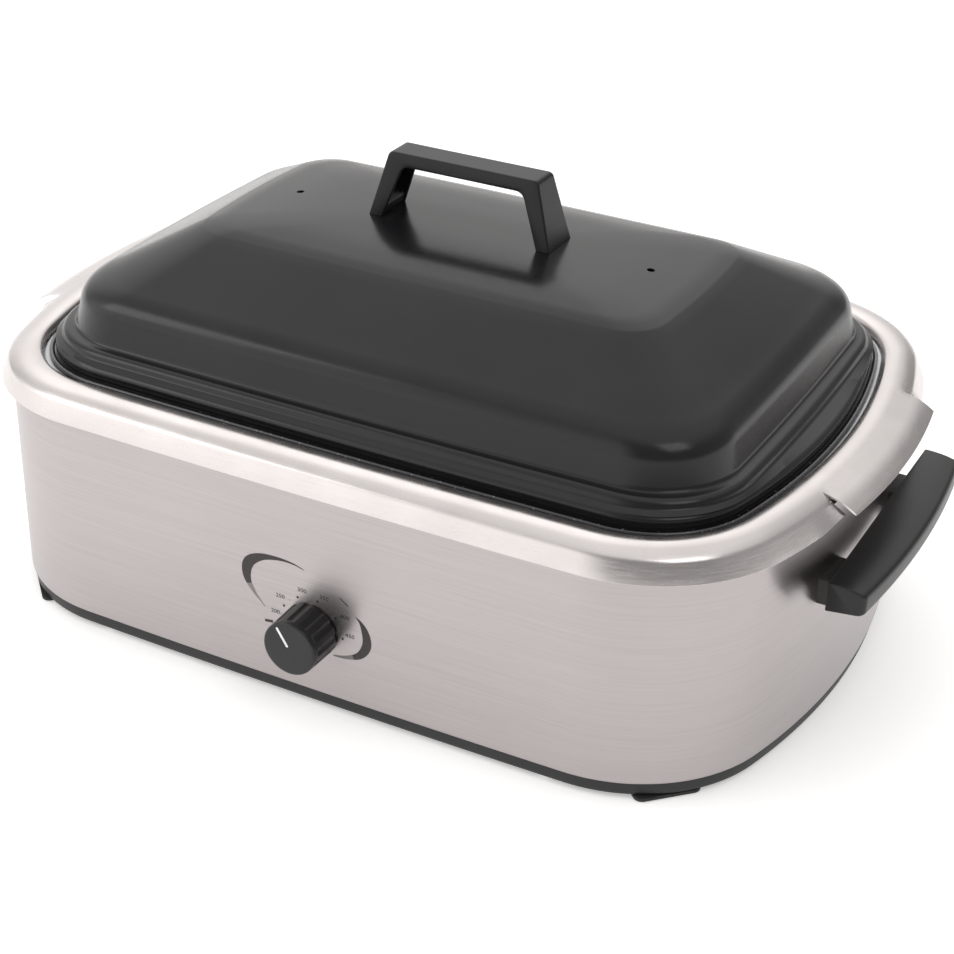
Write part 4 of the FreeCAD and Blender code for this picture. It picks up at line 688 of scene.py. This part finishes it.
v, f = join([screw((150 * sx, 177.5 * sy, 2.5), (0, 0, 1), 3.8, 1.9, 2.0, 12.0) for sx, sy in SIGNS])
make("base_screw_set", v, f, "zinc_steel", "base", ("base_screws",))
v, f = join([screw((120 * sx, 70 * sy, 2.5), (0, 0, 1), 3.8, 1.9, 2.0, 22.7) for sx, sy in SIGNS])
make("tie_screw_set", v, f, "zinc_steel", "base", ("tie_screws",))
v, f = join([screw((55 * sx, 0, 235.95), (0, 0, 1), 3.6, 1.9, 2.0, 9.6) for sx in (-1, 1)])
make("lid_handle_screw_set", v, f, "zinc_steel", "lid", ("lid_handle_screws",))

# ------------------------------------------------------------------ cord bush in the back wall
gy = shell_y(-150, 23) - 0.0
prof = [(3.6, -5.0), (3.9, -5.6), (8.0, -5.6), (8.4, -5.2), (8.4, -2.2), (6.6, -2.0), (6.6, 0.35), (9.6, 0.35), (10.0, 0.8), (10.0, 1.7), (9.0, 2.6), (4.6, 3.0), (3.7, 2.6), (3.6, 2.0), (3.6, -5.0)]
v, f = lathe(prof, (-150, gy, 23), (0, 1, 0), 48, (False, False))
make("cord_bush_moulding", v, f, "handle_black", "base", ("cord_bush",))

# ------------------------------------------------------------------ side handles
GI, GO, GY, RB = 272.5, 300.8, 89.0, 640.0


def grip_section(xo, dx, dz):
    # closed section from the inner lower corner round to the inner upper corner; dx, dz shrink it for the end bevel
    k = (xo - GI) / 30.3
    zb, zt = 98.6 + dz, 117.0 - dz
    zbo, zto = 98.6 + 3.4 * k + dz, 117.0 - 3.4 * k - dz
    xi = GI + dx * 0.5
    xo = xo - dx
    p = []
    p += bez((xi, zb + 0.8), (xi, zb), (xi + 0.8, zb + 0.09), 3)
    p += bez((xo - 3.2, zbo - 0.3), (xo, zbo), (xo, zbo + 3.2), 6)
    p += bez((xo, zto - 3.4), (xo, zto), (xo - 3.6, zto + 0.45), 6)
    for t in (0.28, 0.45, 0.62, 0.78):
        x = xo + (xi - xo) * t
        p.append((x, zto + (zt - zto) * t + 0.55 * math.sin(math.pi * t) + 0.0))
    p += bez((xi + 1.6, zt - 0.12), (xi, zt), (xi, zt - 1.6), 4)
    return p


for side, sx in (("right", 1), ("left", -1)):
    ys = [(-GY, 0.6), (-GY + 0.25, 0.18), (-GY + 0.7, 0.0)]
    ys += [(-GY + 0.7 + 0.4 * i, 0.0) for i in range(1, 7)]
    ys += [(-85.5 + 171.0 * i / 44, 0.0) for i in range(45)]
    ys += [(-y, t) for y, t in reversed(ys[:9])]
    rows = []
    for y, t in ys:
        xo = GO - (RB - math.sqrt(RB * RB - y * y))
        d = GY - abs(y)
        if d < 3.0:
            xo -= 3.0 - math.sqrt(max(0.0, 9.0 - (3.0 - d) ** 2))
        rows.append([(sx * x, y, z) for x, z in grip_section(xo, t, t)])
    m = len(rows[0])
    vv = [p for r in rows for p in r]
    ff = [(i * m + j, i * m + (j + 1) % m, (i + 1) * m + (j + 1) % m, (i + 1) * m + j) for i in range(len(rows) - 1) for j in range(m)]
    ff += [tuple(range(m)), tuple((len(rows) - 1) * m + j for j in range(m))]
    make("side_grip_" + side + "_moulding", vv, ff, "grip_black", "base", ("side_grip_" + side,), sharp=40)
    parts = []
    for sy in (-1, 1):
        y0, y1 = sorted((42.0 * sy, 70.0 * sy))
        rows = []
        for x, t in ((0, 0.0), (0.35, 0.0), (0.8, 0.0), (1, 0.0)):
            row = []
            for cy, cz, a0 in ((1, 1, 0), (-1, 1, 90), (-1, -1, 180), (1, -1, 270)):
                for k in range(6):
                    a = math.radians(a0 + 18 * k)
                    yy = (y0 + y1) / 2 + cy * (14 - 2) + 2 * math.cos(a)
                    zz = 98.0 + cz * (9 - 2) + 2 * math.sin(a)
                    xw = 267.5 - (435.0 - math.sqrt(435.0 ** 2 - yy * yy)) - 0.3
                    row.append((sx * (xw + (GI + 0.2 - xw) * x), yy, zz))
            rows.append(row)
        m = len(rows[0])
        vv = [p for r in rows for p in r]
        ff = [(i * m + j, i * m + (j + 1) % m, (i + 1) * m + (j + 1) % m, (i + 1) * m + j) for i in range(3) for j in range(m)]
        ff += [tuple(range(m)), tuple(3 * m + j for j in range(m))]
        parts.append((vv, ff))
    v, f = join(parts)
    make("handle_bracket_" + side + "_legs", v, f, "phenolic", "base", ("handle_bracket_" + side,))

# ------------------------------------------------------------------ control knob and pointer
KX, KZ, KR, KF, KY0, KY1 = 2.6, 54.9, 17.4, 16.9, 189.5, 213.3


def flute(theta, r):
    # radius at this angle where a scallop runs
    step = math.radians(30)
    ph = (theta + step / 2) % step - step / 2
    d = r + 3.4
    s = 4.4 ** 2 - (d * math.sin(ph)) ** 2
    if s <= 0:
        return r
    return min(r, d * math.cos(ph) - math.sqrt(s))


seg = 288
prof = []                     # (y, outer radius, share of the flute)
L = KY1 - KY0
for t in [0.0, 0.4] + [1.0 + i * 1.2 for i in range(15)] + [18.6, 19.2, 19.7, 20.1, 20.4, 20.8, 21.6, L - 1.2]:
    share = max(0.0, min(1.0, (20.3 - t) / 2.0))
    share = share ** 0.5 if share > 0 else 0.0
    r = KR + (KF - KR) * t / L
    if t == 0.0:
        r -= 0.4
    prof.append((t, r, share))
for r_, t_ in bez((KF, L - 1.2), (KF, L - 0.25), (KF - 0.95, L - 0.1), 4)[1:]:
    prof.append((t_, r_, 0.0))
prof += [(L - 0.04, KF - 1.5, 0.0), (L, KF - 2.4, 0.0), (L, 8.0, 0.0)]
verts, faces = [], []
for t, r, sh in prof:
    for i in range(seg):
        th = 2 * math.pi * i / seg
        rr = r - (r - flute(th, r)) * sh
        a = th + math.radians(33.0)
        verts.append((KX - rr * math.sin(a), -(KY0 + t), KZ + rr * math.cos(a)))
n0 = len(verts)
inner = [(0.0, KR - 2.2), (L - 3.0, KR - 2.8), (L - 3.0, 5.4), (3.0, 5.4), (3.0, 3.1)]
for t, r in inner:
    for i in range(seg):
        a = 2 * math.pi * i / seg + math.radians(33.0)
        verts.append((KX - r * math.sin(a), -(KY0 + t), KZ + r * math.cos(a)))
for k in range(len(prof) - 1):
    for i in range(seg):
        j = (i + 1) % seg
        faces.append((k * seg + i, k * seg + j, (k + 1) * seg + j, (k + 1) * seg + i))
faces.append(tuple((len(prof) - 1) * seg + i for i in range(seg)))
for k in range(len(inner) - 1):
    for i in range(seg):
        j = (i + 1) % seg
        faces.append((n0 + k * seg + i, n0 + (k + 1) * seg + i, n0 + (k + 1) * seg + j, n0 + k * seg + j))
faces.append(tuple(n0 + (len(inner) - 1) * seg + i for i in range(seg)))
for i in range(seg):
    j = (i + 1) % seg
    faces.append((i, n0 + i, n0 + j, j))
knob = make("control_knob_moulding", verts, faces, "knob_black", "knob", ("control_knob",), sharp=38)


def bar(half, r0, r1, y0, y1, rnd):
    # a bar on the face, standing at the rest angle, with rounded ends
    out = []
    for w, r in [(half * math.cos(a), r1 - half + half * math.sin(a)) for a in [math.pi * k / 8 for k in range(9)]] + \
            [(half * math.cos(a), r0 + half + half * math.sin(a)) for a in [math.pi + math.pi * k / 8 for k in range(9)]]:
        th = math.radians(33.0)
        out.append((KX - math.sin(th) * r + math.cos(th) * w, KZ + math.cos(th) * r + math.sin(th) * w))
    return prism_y(out, y0, y1)


slot_cut = cutter(*bar(1.0, 1.1, 14.9, -(KY1 - 0.7), -(KY1 + 2), 0))
punch(knob, [slot_cut])
v, f = bar(0.82, 1.3, 14.7, -(KY1 - 0.75), -(KY1 - 0.15), 0)
make("knob_pointer_line", v, f, "pointer_white", "knob", ("knob_pointer",))

# ------------------------------------------------------------------ dial print on the front of the shell


def on_shell(name, polys, mat, lift=0.05, thick=0.05):
    verts, faces = [], []
    for pts, tris in polys:
        o = len(verts)
        k = len(pts)
        for d in (lift, lift + thick):
            for x, z in pts:
                verts.append((x, -(shell_y(x, z) + d), z))
        for q in tris:
            faces.append(tuple(o + k + i for i in q))
            faces.append(tuple(o + i for i in reversed(q)))
        cnt = {}
        for q in tris:
            for a, b in zip(q, q[1:] + q[:1]):
                cnt[(a, b)] = 1
        for (a, b) in cnt:
            if (b, a) not in cnt:
                faces.append((o + a, o + b, o + k + b, o + k + a))
    return make(name, verts, faces, mat, "base", (), sharp=30)


def band(line):
    # (x, z, half width) along a smooth line -> strip of quads
    pts, tris = [], []
    P = []
    n = len(line)
    for i in range(n - 1):
        p0, p1, p2, p3 = line[max(i - 1, 0)], line[i], line[i + 1], line[min(i + 2, n - 1)]
        for k in range(8):
            t = k / 8
            P.append(tuple(0.5 * (2 * b + (c - a) * t + (2 * a - 5 * b + 4 * c - d) * t * t + (3 * b - a - 3 * c + d) * t ** 3) for a, b, c, d in zip(p0, p1, p2, p3)))
    P.append(line[-1])
    for i, (x, z, w) in enumerate(P):
        x0, z0_, _ = P[max(i - 1, 0)]
        x1, z1_, _ = P[min(i + 1, len(P) - 1)]
        dx, dz = x1 - x0, z1_ - z0_
        m = math.hypot(dx, dz)
        nx, nz = -dz / m, dx / m
        w = max(w, 0.06)
        pts += [(x + nx * w, z + nz * w), (x - nx * w, z - nz * w)]
    for i in range(len(P) - 1):
        tris.append((2 * i, 2 * i + 1, 2 * i + 3, 2 * i + 2))
    return pts, tris


left_fade = band([(-28.9, 59.9, 0.1), (-31.3, 62.9, 0.35), (-34.6, 66.3, 0.8), (-37.0, 69.7, 1.3), (-39.2, 73.1, 1.8)])
left_arc = band([(-39.2, 73.1, 1.8), (-40.6, 78.2, 2.7), (-40.4, 83.4, 3.3), (-38.6, 88.0, 3.5), (-34.6, 91.6, 3.0), (-28.6, 94.4, 2.1), (-21.0, 95.9, 1.3), (-13.6, 96.3, 0.75), (-6.6, 95.5, 0.4), (-1.0, 93.9, 0.1)])
right_arc = band([(32.2, 73.0, 0.1), (35.4, 70.2, 0.9), (38.0, 65.7, 2.1), (39.5, 60.2, 2.7), (39.4, 55.2, 2.9), (37.6, 50.7, 2.7), (34.4, 46.8, 2.2), (30.2, 44.2, 1.6)])
right_fade = band([(30.2, 44.2, 1.6), (23.9, 42.2, 0.95), (17.0, 41.3, 0.4)])
on_shell("dial_arcs", [left_arc, right_arc], "ink")
on_shell("dial_arcs_fade", [left_fade, right_fade], "ink_grey")


def dot(x, z, r):
    return [(x + r * math.cos(a), z + r * math.sin(a)) for a in [2 * math.pi * k / 20 for k in range(20)]], [tuple(range(20))]


def polar(r, deg):
    a = math.radians(deg)
    return KX + r * math.sin(a), KZ + r * math.cos(a)


marks = [-61.0, -24.5, 13.0, 52.0, 90.0]
polys = [dot(*polar(20.9, a), 0.78) for a in marks]
for a in (-80.0, -43.0, -5.5, 32.5, 71.0):
    x, z = polar(20.9, a)
    polys.append(dot(x, z, 0.3))
th = math.radians(-98.0)
c_, s_ = math.sin(th), math.cos(th)
x, z = KX + 29.5 * c_, KZ + 29.5 * s_
polys.append(([(x + c_ * u - s_ * w, z + s_ * u + c_ * w) for u, w in ((-2.8, -0.9), (2.8, -0.9), (2.8, 0.9), (-2.8, 0.9))], [(0, 1, 2, 3)]))
polys.append(band([(22.3, 82.6, 0.3), (25.0, 80.6, 0.36), (27.8, 78.5, 0.3)]))
on_shell("dial_marks", polys, "ink")


def number(text, x, z, size):
    cu = bpy.data.curves.new("num" + text, "FONT")
    cu.body = text
    cu.size = size
    cu.align_x = "CENTER"
    cu.align_y = "CENTER"
    cu.resolution_u = 3
    ob = bpy.data.objects.new("num" + text, cu)
    SCN.collection.objects.link(ob)
    dg = bpy.context.evaluated_depsgraph_get()
    me = bpy.data.meshes.new_from_object(ob.evaluated_get(dg))
    out = ([(x + v_.co.x * 1.12, z + v_.co.y) for v_ in me.vertices], [tuple(p.vertices) for p in me.polygons])
    bpy.data.objects.remove(ob)
    bpy.data.curves.remove(cu)
    return out


nums = [number("200", -21.8, 59.2, 3.7), number("250", -18.0, 70.9, 3.7), number("300", -3.0, 79.5, 3.7), number("350", 11.8, 79.1, 3.7),
        number("400", 25.2, 70.2, 3.7), number("450", 28.4, 58.2, 3.7)]
on_shell("dial_numbers", nums, "ink")

# ------------------------------------------------------------------ lid
LZ = 237.9
LO = [
    (40, 8, 6, 480, RF, LZ, 0), (70, 22, 14, 500, RF, LZ - 0.15, 12), (111, 52, 20, 600, RF, 236.2, 16), (146, 70, 23, 640, RF, 232.6, 5), (155.5, 77, 25, 660, RF, 230.0, 0.9),
    (160.5, 82.2, 28, 700, RF, 227.6, 2.0), (198.5, 123.6, 42, 1500, RF, 206.6, 6), (205.8, 131.2, 45, 2000, RF, 202.9, 4.2), (211.5, 137.3, 47.5, 2600, RF, 198.4, 3.6),
    (214.9, 140.5, 49, 3000, RF, 192.7, 3.2), (216.4, 142, 49.6, 3000, RF, 184.5, 4), (218.4, 144, 50.4, 3000, RF, 175.2, 0.9), (219.4, 145, 51.2, 3000, RF, 173.5, 0.9),
    (221.6, 147, 53, 3000, RF, 172.9, 1.1), (224.6, 149.8, 56, 2600, RF, 172.5, 1.6), (227, 152, 58, 2200, RF, 170.9, 1.4), (228.8, 153.3, 59.5, 1600, RF, 167.6, 1.5),
    (238.3, 157.6, 61.8, 462, RF, 165.6, 1.3), (240.7, 159.2, 63.4, 445.5, RF, 163.8, 1.4), (240.7, 159.2, 63.4, 445.5, RF, 157.8, 0)]


def offset_levels(levels, t):
    out = []
    for i, lv in enumerate(levels):
        dirs = []
        for k in (i - 1, i):
            if 0 <= k < len(levels) - 1:
                dx, dz = levels[k + 1][0] - levels[k][0], levels[k + 1][5] - levels[k][5]
                m = math.hypot(dx, dz)
                dirs.append((dz / m, -dx / m))
        nx, nz = sum(d[0] for d in dirs), sum(d[1] for d in dirs)
        m = math.hypot(nx, nz)
        nx, nz = nx / m, nz / m
        g = t / max(0.6, nx * dirs[0][0] + nz * dirs[0][1])
        ox, oz = nx * g, nz * g
        if i == 0:
            ox, oz = 0.0, -t
        if i == len(levels) - 1:
            ox, oz = -t, 0.0
        a, b, rc, re_, rf_, z, d = lv
        out.append((a + ox, b + ox, rc + ox, re_ + ox, rf_, z + oz, d))
    return out


LI = offset_levels(LO, 0.9)
lid_levels = [l_[:6] for l_ in rounded(LO, False, 5)] + [l_[:6] for l_ in rounded(LI, False, 4)][::-1]
v, f = loft(lid_levels, False, nf=20, nc=36, ne=20)
lid = make("lid_pressing", v, f, "lid_black", "lid", ("lid_shell",), sharp=34)
punch(lid, [cutter(*lathe([(2.4, 0), (2.4, 30)], (120.4 * s, 0, 220), (0, 0, 1), 40)) for s in (-1, 1)])

# lid handle: a bridge with flared legs, open towards the inside


def hw(z):
    if z <= 277.0:
        return 15.0 + (10.64 - 15.0) * (z - 237.95) / (277.0 - 237.95)
    return 10.64 - 0.35 * (z - 277.0)


O_leg, O_cor = (61.5, 237.95), (50.04, 279.0)
I_leg, I_cor = (52.5, 237.95), (40.7, 271.0)


def toward(p, q, d):
    m = math.hypot(q[0] - p[0], q[1] - p[1])
    return (p[0] + (q[0] - p[0]) * d / m, p[1] + (q[1] - p[1]) * d / m)


Oc = bez(toward(O_cor, O_leg, 2.6), O_cor, toward(O_cor, (0, 279.0), 2.6), 8)
Ic = bez(toward(I_cor, I_leg, 5.0), I_cor, toward(I_cor, (0, 271.0), 5.0), 8)
stations = []
for i in range(13):
    t = i / 13
    stations.append((tuple(a + (b - a) * t for a, b in zip(O_leg, Oc[0])), tuple(a + (b - a) * t for a, b in zip(I_leg, Ic[0]))))
stations += list(zip(Oc, Ic))
for i in range(1, 11):
    t = i / 10
    stations.append(((Oc[-1][0] * (1 - t), 279.0), (Ic[-1][0] * (1 - t), 271.0)))
half = len(stations)
stations += [((-o[0], o[1]), (-p[0], p[1])) for o, p in reversed(stations[:-1])]


def handle_ring(o, p, deep):
    T = math.hypot(o[0] - p[0], o[1] - p[1])

    def pt(dist, side, inset):
        s = dist / T
        x, z = o[0] + (p[0] - o[0]) * s, o[1] + (p[1] - o[1]) * s
        return (x, side * (hw(z) - inset), z)
    e, w = 1.15, 2.9
    one = []
    for i in range(5):                       # rounded outer edge
        a = math.pi / 2 * i / 4
        one.append((e - e * math.cos(a), e - e * math.sin(a)))
    one = [(d_, in_) for d_, in_ in one]
    path = [(0.0, 3.6), (0.0, 1.9)] + [(e * (1 - math.cos(a)), e * (1 - math.sin(a))) for a in [math.pi / 2 * i / 4 for i in range(5)]]
    path += [(T * 0.5, 0.0), (T - 0.5, 0.0), (T - 0.15, 0.15), (T, 0.5), (T, w - 0.4), (T - 0.12, w - 0.1), (T - 0.5, w)]
    c = max(T - deep, 0.0)
    path += [(min(c + 0.8, T - 0.5), w + 0.1), (min(c, T - 0.5), w + 0.9), (min(c, T - 0.5), 6.0)]
    left = [pt(d_, 1, in_) for d_, in_ in path]
    right = [pt(d_, -1, in_) for d_, in_ in reversed(path)]
    return left + right


rows = []
for i, (o, p) in enumerate(stations):
    z = o[1]
    t = max(0.0, min(1.0, (z - 246.5) / 1.6))
    T = math.hypot(o[0] - p[0], o[1] - p[1])
    rows.append(handle_ring(o, p, 0.5 + (T - 3.6 - 0.5) * t))
m = len(rows[0])
vv = [q for r in rows for q in r]
ff = [(i * m + j, i * m + (j + 1) % m, (i + 1) * m + (j + 1) % m, (i + 1) * m + j) for i in range(len(rows) - 1) for j in range(m)]
ff += [tuple(range(m)), tuple((len(rows) - 1) * m + j for j in range(m))]
make("lid_handle_bridge", vv, ff, "handle_black", "lid", ("lid_handle",), sharp=38)

# ------------------------------------------------------------------ rack
ring = oval(194, 112, 42, 900, RF, 33.0, nf=10, nc=16, ne=8)
parts = [tube(ring, 2.5, True)]
for sx, sy in SIGNS:
    y = sy * (112 - 120.0 ** 2 / (2 * RF))
    parts.append(tube([(sx * 120, y, 28.35), (sx * 120, y, 28.8), (sx * 120, y, 31), (sx * 120, y, 33)], 2.5))
v, f = join(parts)
make("rack_frame_wire", v, f, "chrome_wire", "rack", ("rack_frame",))
parts = []
for i in range(-7, 8):
    x = i * 23.5
    yy = 112 - x * x / (2 * RF) + 1.4
    parts.append(tube([(x, -yy, 37.0), (x, -yy / 2, 37.0), (x, 0, 37.0), (x, yy / 2, 37.0), (x, yy, 37.0)], 1.5))
v, f = join(parts)
make("rack_rod_wires", v, f, "chrome_wire", "rack", ("rack_rods",))
parts = []
for sx in (-1, 1):
    x = sx * (194 - 34.0 ** 2 / 1800)
    pts = [(x, -34, 35.0), (x, -34, 42), (x, -34, 50)] + [(x, -24 - 10 * math.cos(a), 50 + 10 * math.sin(a)) for a in [math.pi / 2 * k / 8 for k in range(1, 9)]]
    pts += [(x, -12, 60), (x, 0, 60), (x, 12, 60)] + [(x, 24 + 10 * math.sin(a), 50 + 10 * math.cos(a)) for a in [math.pi / 2 * k / 8 for k in range(9)]]
    pts += [(x, 34, 42), (x, 34, 35.0)]
    parts.append(tube(pts, 2.0))
v, f = join(parts)
make("rack_bail_wires", v, f, "chrome_wire", "rack", ("rack_bails",))

# ------------------------------------------------------------------ the CAD pieces that stay get their finish
SLOT_OF = {r["node"]: r["material_slot"] for r in frame["record"]["subparts"]}
for name, ob in frame["nodes"].items():
    if ob.hide_render:
        continue
    mat = M[SLOT_OF.get(name, "zinc_steel")]
    ob.data.materials.clear()
    ob.data.materials.append(mat)

# ------------------------------------------------------------------ floor, light and camera
bm = bmesh.new()
bmesh.ops.create_grid(bm, x_segments=8, y_segments=8, size=9.0)
me = bpy.data.meshes.new("studio_floor")
bm.to_mesh(me)
bm.free()
floor = bpy.data.objects.new("studio_floor", me)
SCN.collection.objects.link(floor)
floor.location = (0, 0, -0.0004)
fm, nt, b = new_mat("studio_floor", (0.93, 0.928, 0.925), 0.9, 0.0, 0.1)
g = noise(nt, coords(nt, (3, 3, 3)), 1.0, 2.0, 0.5)
nt.links.new(mixcol(nt, g, (0.925, 0.923, 0.92), (0.94, 0.938, 0.935)), b.inputs["Base Color"])
b.inputs["Emission Color"].default_value = (1, 0.995, 0.99, 1)
b.inputs["Emission Strength"].default_value = 0.38
me.materials.append(fm)

AZ, EL, ROLL, DIST, FPX, CX, CY = math.radians(27.612), math.radians(27.8), math.radians(1.312), 1.3112, 2056.9, 464.245, 426.31
back = Vector((math.sin(AZ) * math.cos(EL), -math.cos(AZ) * math.cos(EL), math.sin(EL)))
right = Vector((math.cos(AZ), math.sin(AZ), 0))
up = back.cross(right)
R = right * math.cos(ROLL) + up * math.sin(ROLL)
U = up * math.cos(ROLL) - right * math.sin(ROLL)
cam = bpy.data.objects.new("camera", bpy.data.cameras.new("camera"))
SCN.collection.objects.link(cam)
cam.data.sensor_width = 36.0
cam.data.lens = FPX * 36.0 / 954.0
cam.data.shift_x = (477.0 - CX) / 954.0
cam.data.shift_y = (CY - 477.0) / 954.0
cam.data.clip_start, cam.data.clip_end = 0.05, 60.0
loc = Vector((0, 0, 0.1)) + back * DIST
cam.matrix_world = Matrix(((R.x, U.x, back.x, loc.x), (R.y, U.y, back.y, loc.y), (R.z, U.z, back.z, loc.z), (0, 0, 0, 1)))
SCN.camera = cam

world = bpy.data.worlds.new("studio")
SCN.world = world
world.use_nodes = True
nt = world.node_tree
bg = nt.nodes["Background"]
tc = nt.nodes.new("ShaderNodeTexCoord")


def lobe(direction, c0, c1, value):
    # smooth patch of light round a direction: 0 where the cosine is below c0, full above c1
    d = nt.nodes.new("ShaderNodeVectorMath")
    d.operation = "DOT_PRODUCT"
    nt.links.new(tc.outputs["Generated"], d.inputs[0])
    d.inputs[1].default_value = Vector(direction).normalized()
    r = nt.nodes.new("ShaderNodeMapRange")
    r.interpolation_type = "SMOOTHSTEP"
    r.inputs["From Min"].default_value = c0
    r.inputs["From Max"].default_value = c1
    r.inputs["To Min"].default_value = 0.0
    r.inputs["To Max"].default_value = value
    nt.links.new(d.outputs["Value"], r.inputs["Value"])
    return r.outputs["Result"]


total = None
for part in (
    lobe((0, 0, -1), -2.0, -1.9, 0.32),                 # even fill
    lobe((-0.58, 0.72, 0.38), 0.60, 0.97, 0.78),        # backdrop behind the object
    lobe((-0.10, 0.20, 0.97), 0.45, 0.97, 0.75),        # large overhead diffuser
    lobe((-0.74, -0.66, 0.05), 0.55, 0.97, 1.25),       # large soft light at the front left
    lobe((0.80, 0.45, 0.30), 0.60, 0.97, 0.12),         # soft light at the right and behind
):
    total = part if total is None else two(nt, total, part)
nt.links.new(total, bg.inputs["Strength"])
bg.inputs["Color"].default_value = (1.0, 0.985, 0.975, 1)


def area(name, loc, target, size, size_y, power, colour=(1, 1, 1)):
    li = bpy.data.lights.new(name, "AREA")
    li.shape = "RECTANGLE"
    li.size, li.size_y = size, size_y
    li.energy = power
    li.color = colour
    ob = bpy.data.objects.new(name, li)
    SCN.collection.objects.link(ob)
    ob.location = loc
    ob.rotation_euler = (Vector(target) - Vector(loc)).to_track_quat("-Z", "Y").to_euler()
    return ob


area("key_left", (-1.9, -1.5, 1.7), (0, 0, 0.1), 1.2, 1.2, 9, (1.0, 0.98, 0.96))
area("key_right", (1.45, -0.85, 1.9), (0, 0, 0.1), 1.1, 1.1, 7)

SCN.view_settings.view_transform = "Standard"
SCN.view_settings.look = "None"
SCN.view_settings.exposure = 0.0
SCN.view_settings.gamma = 1.0
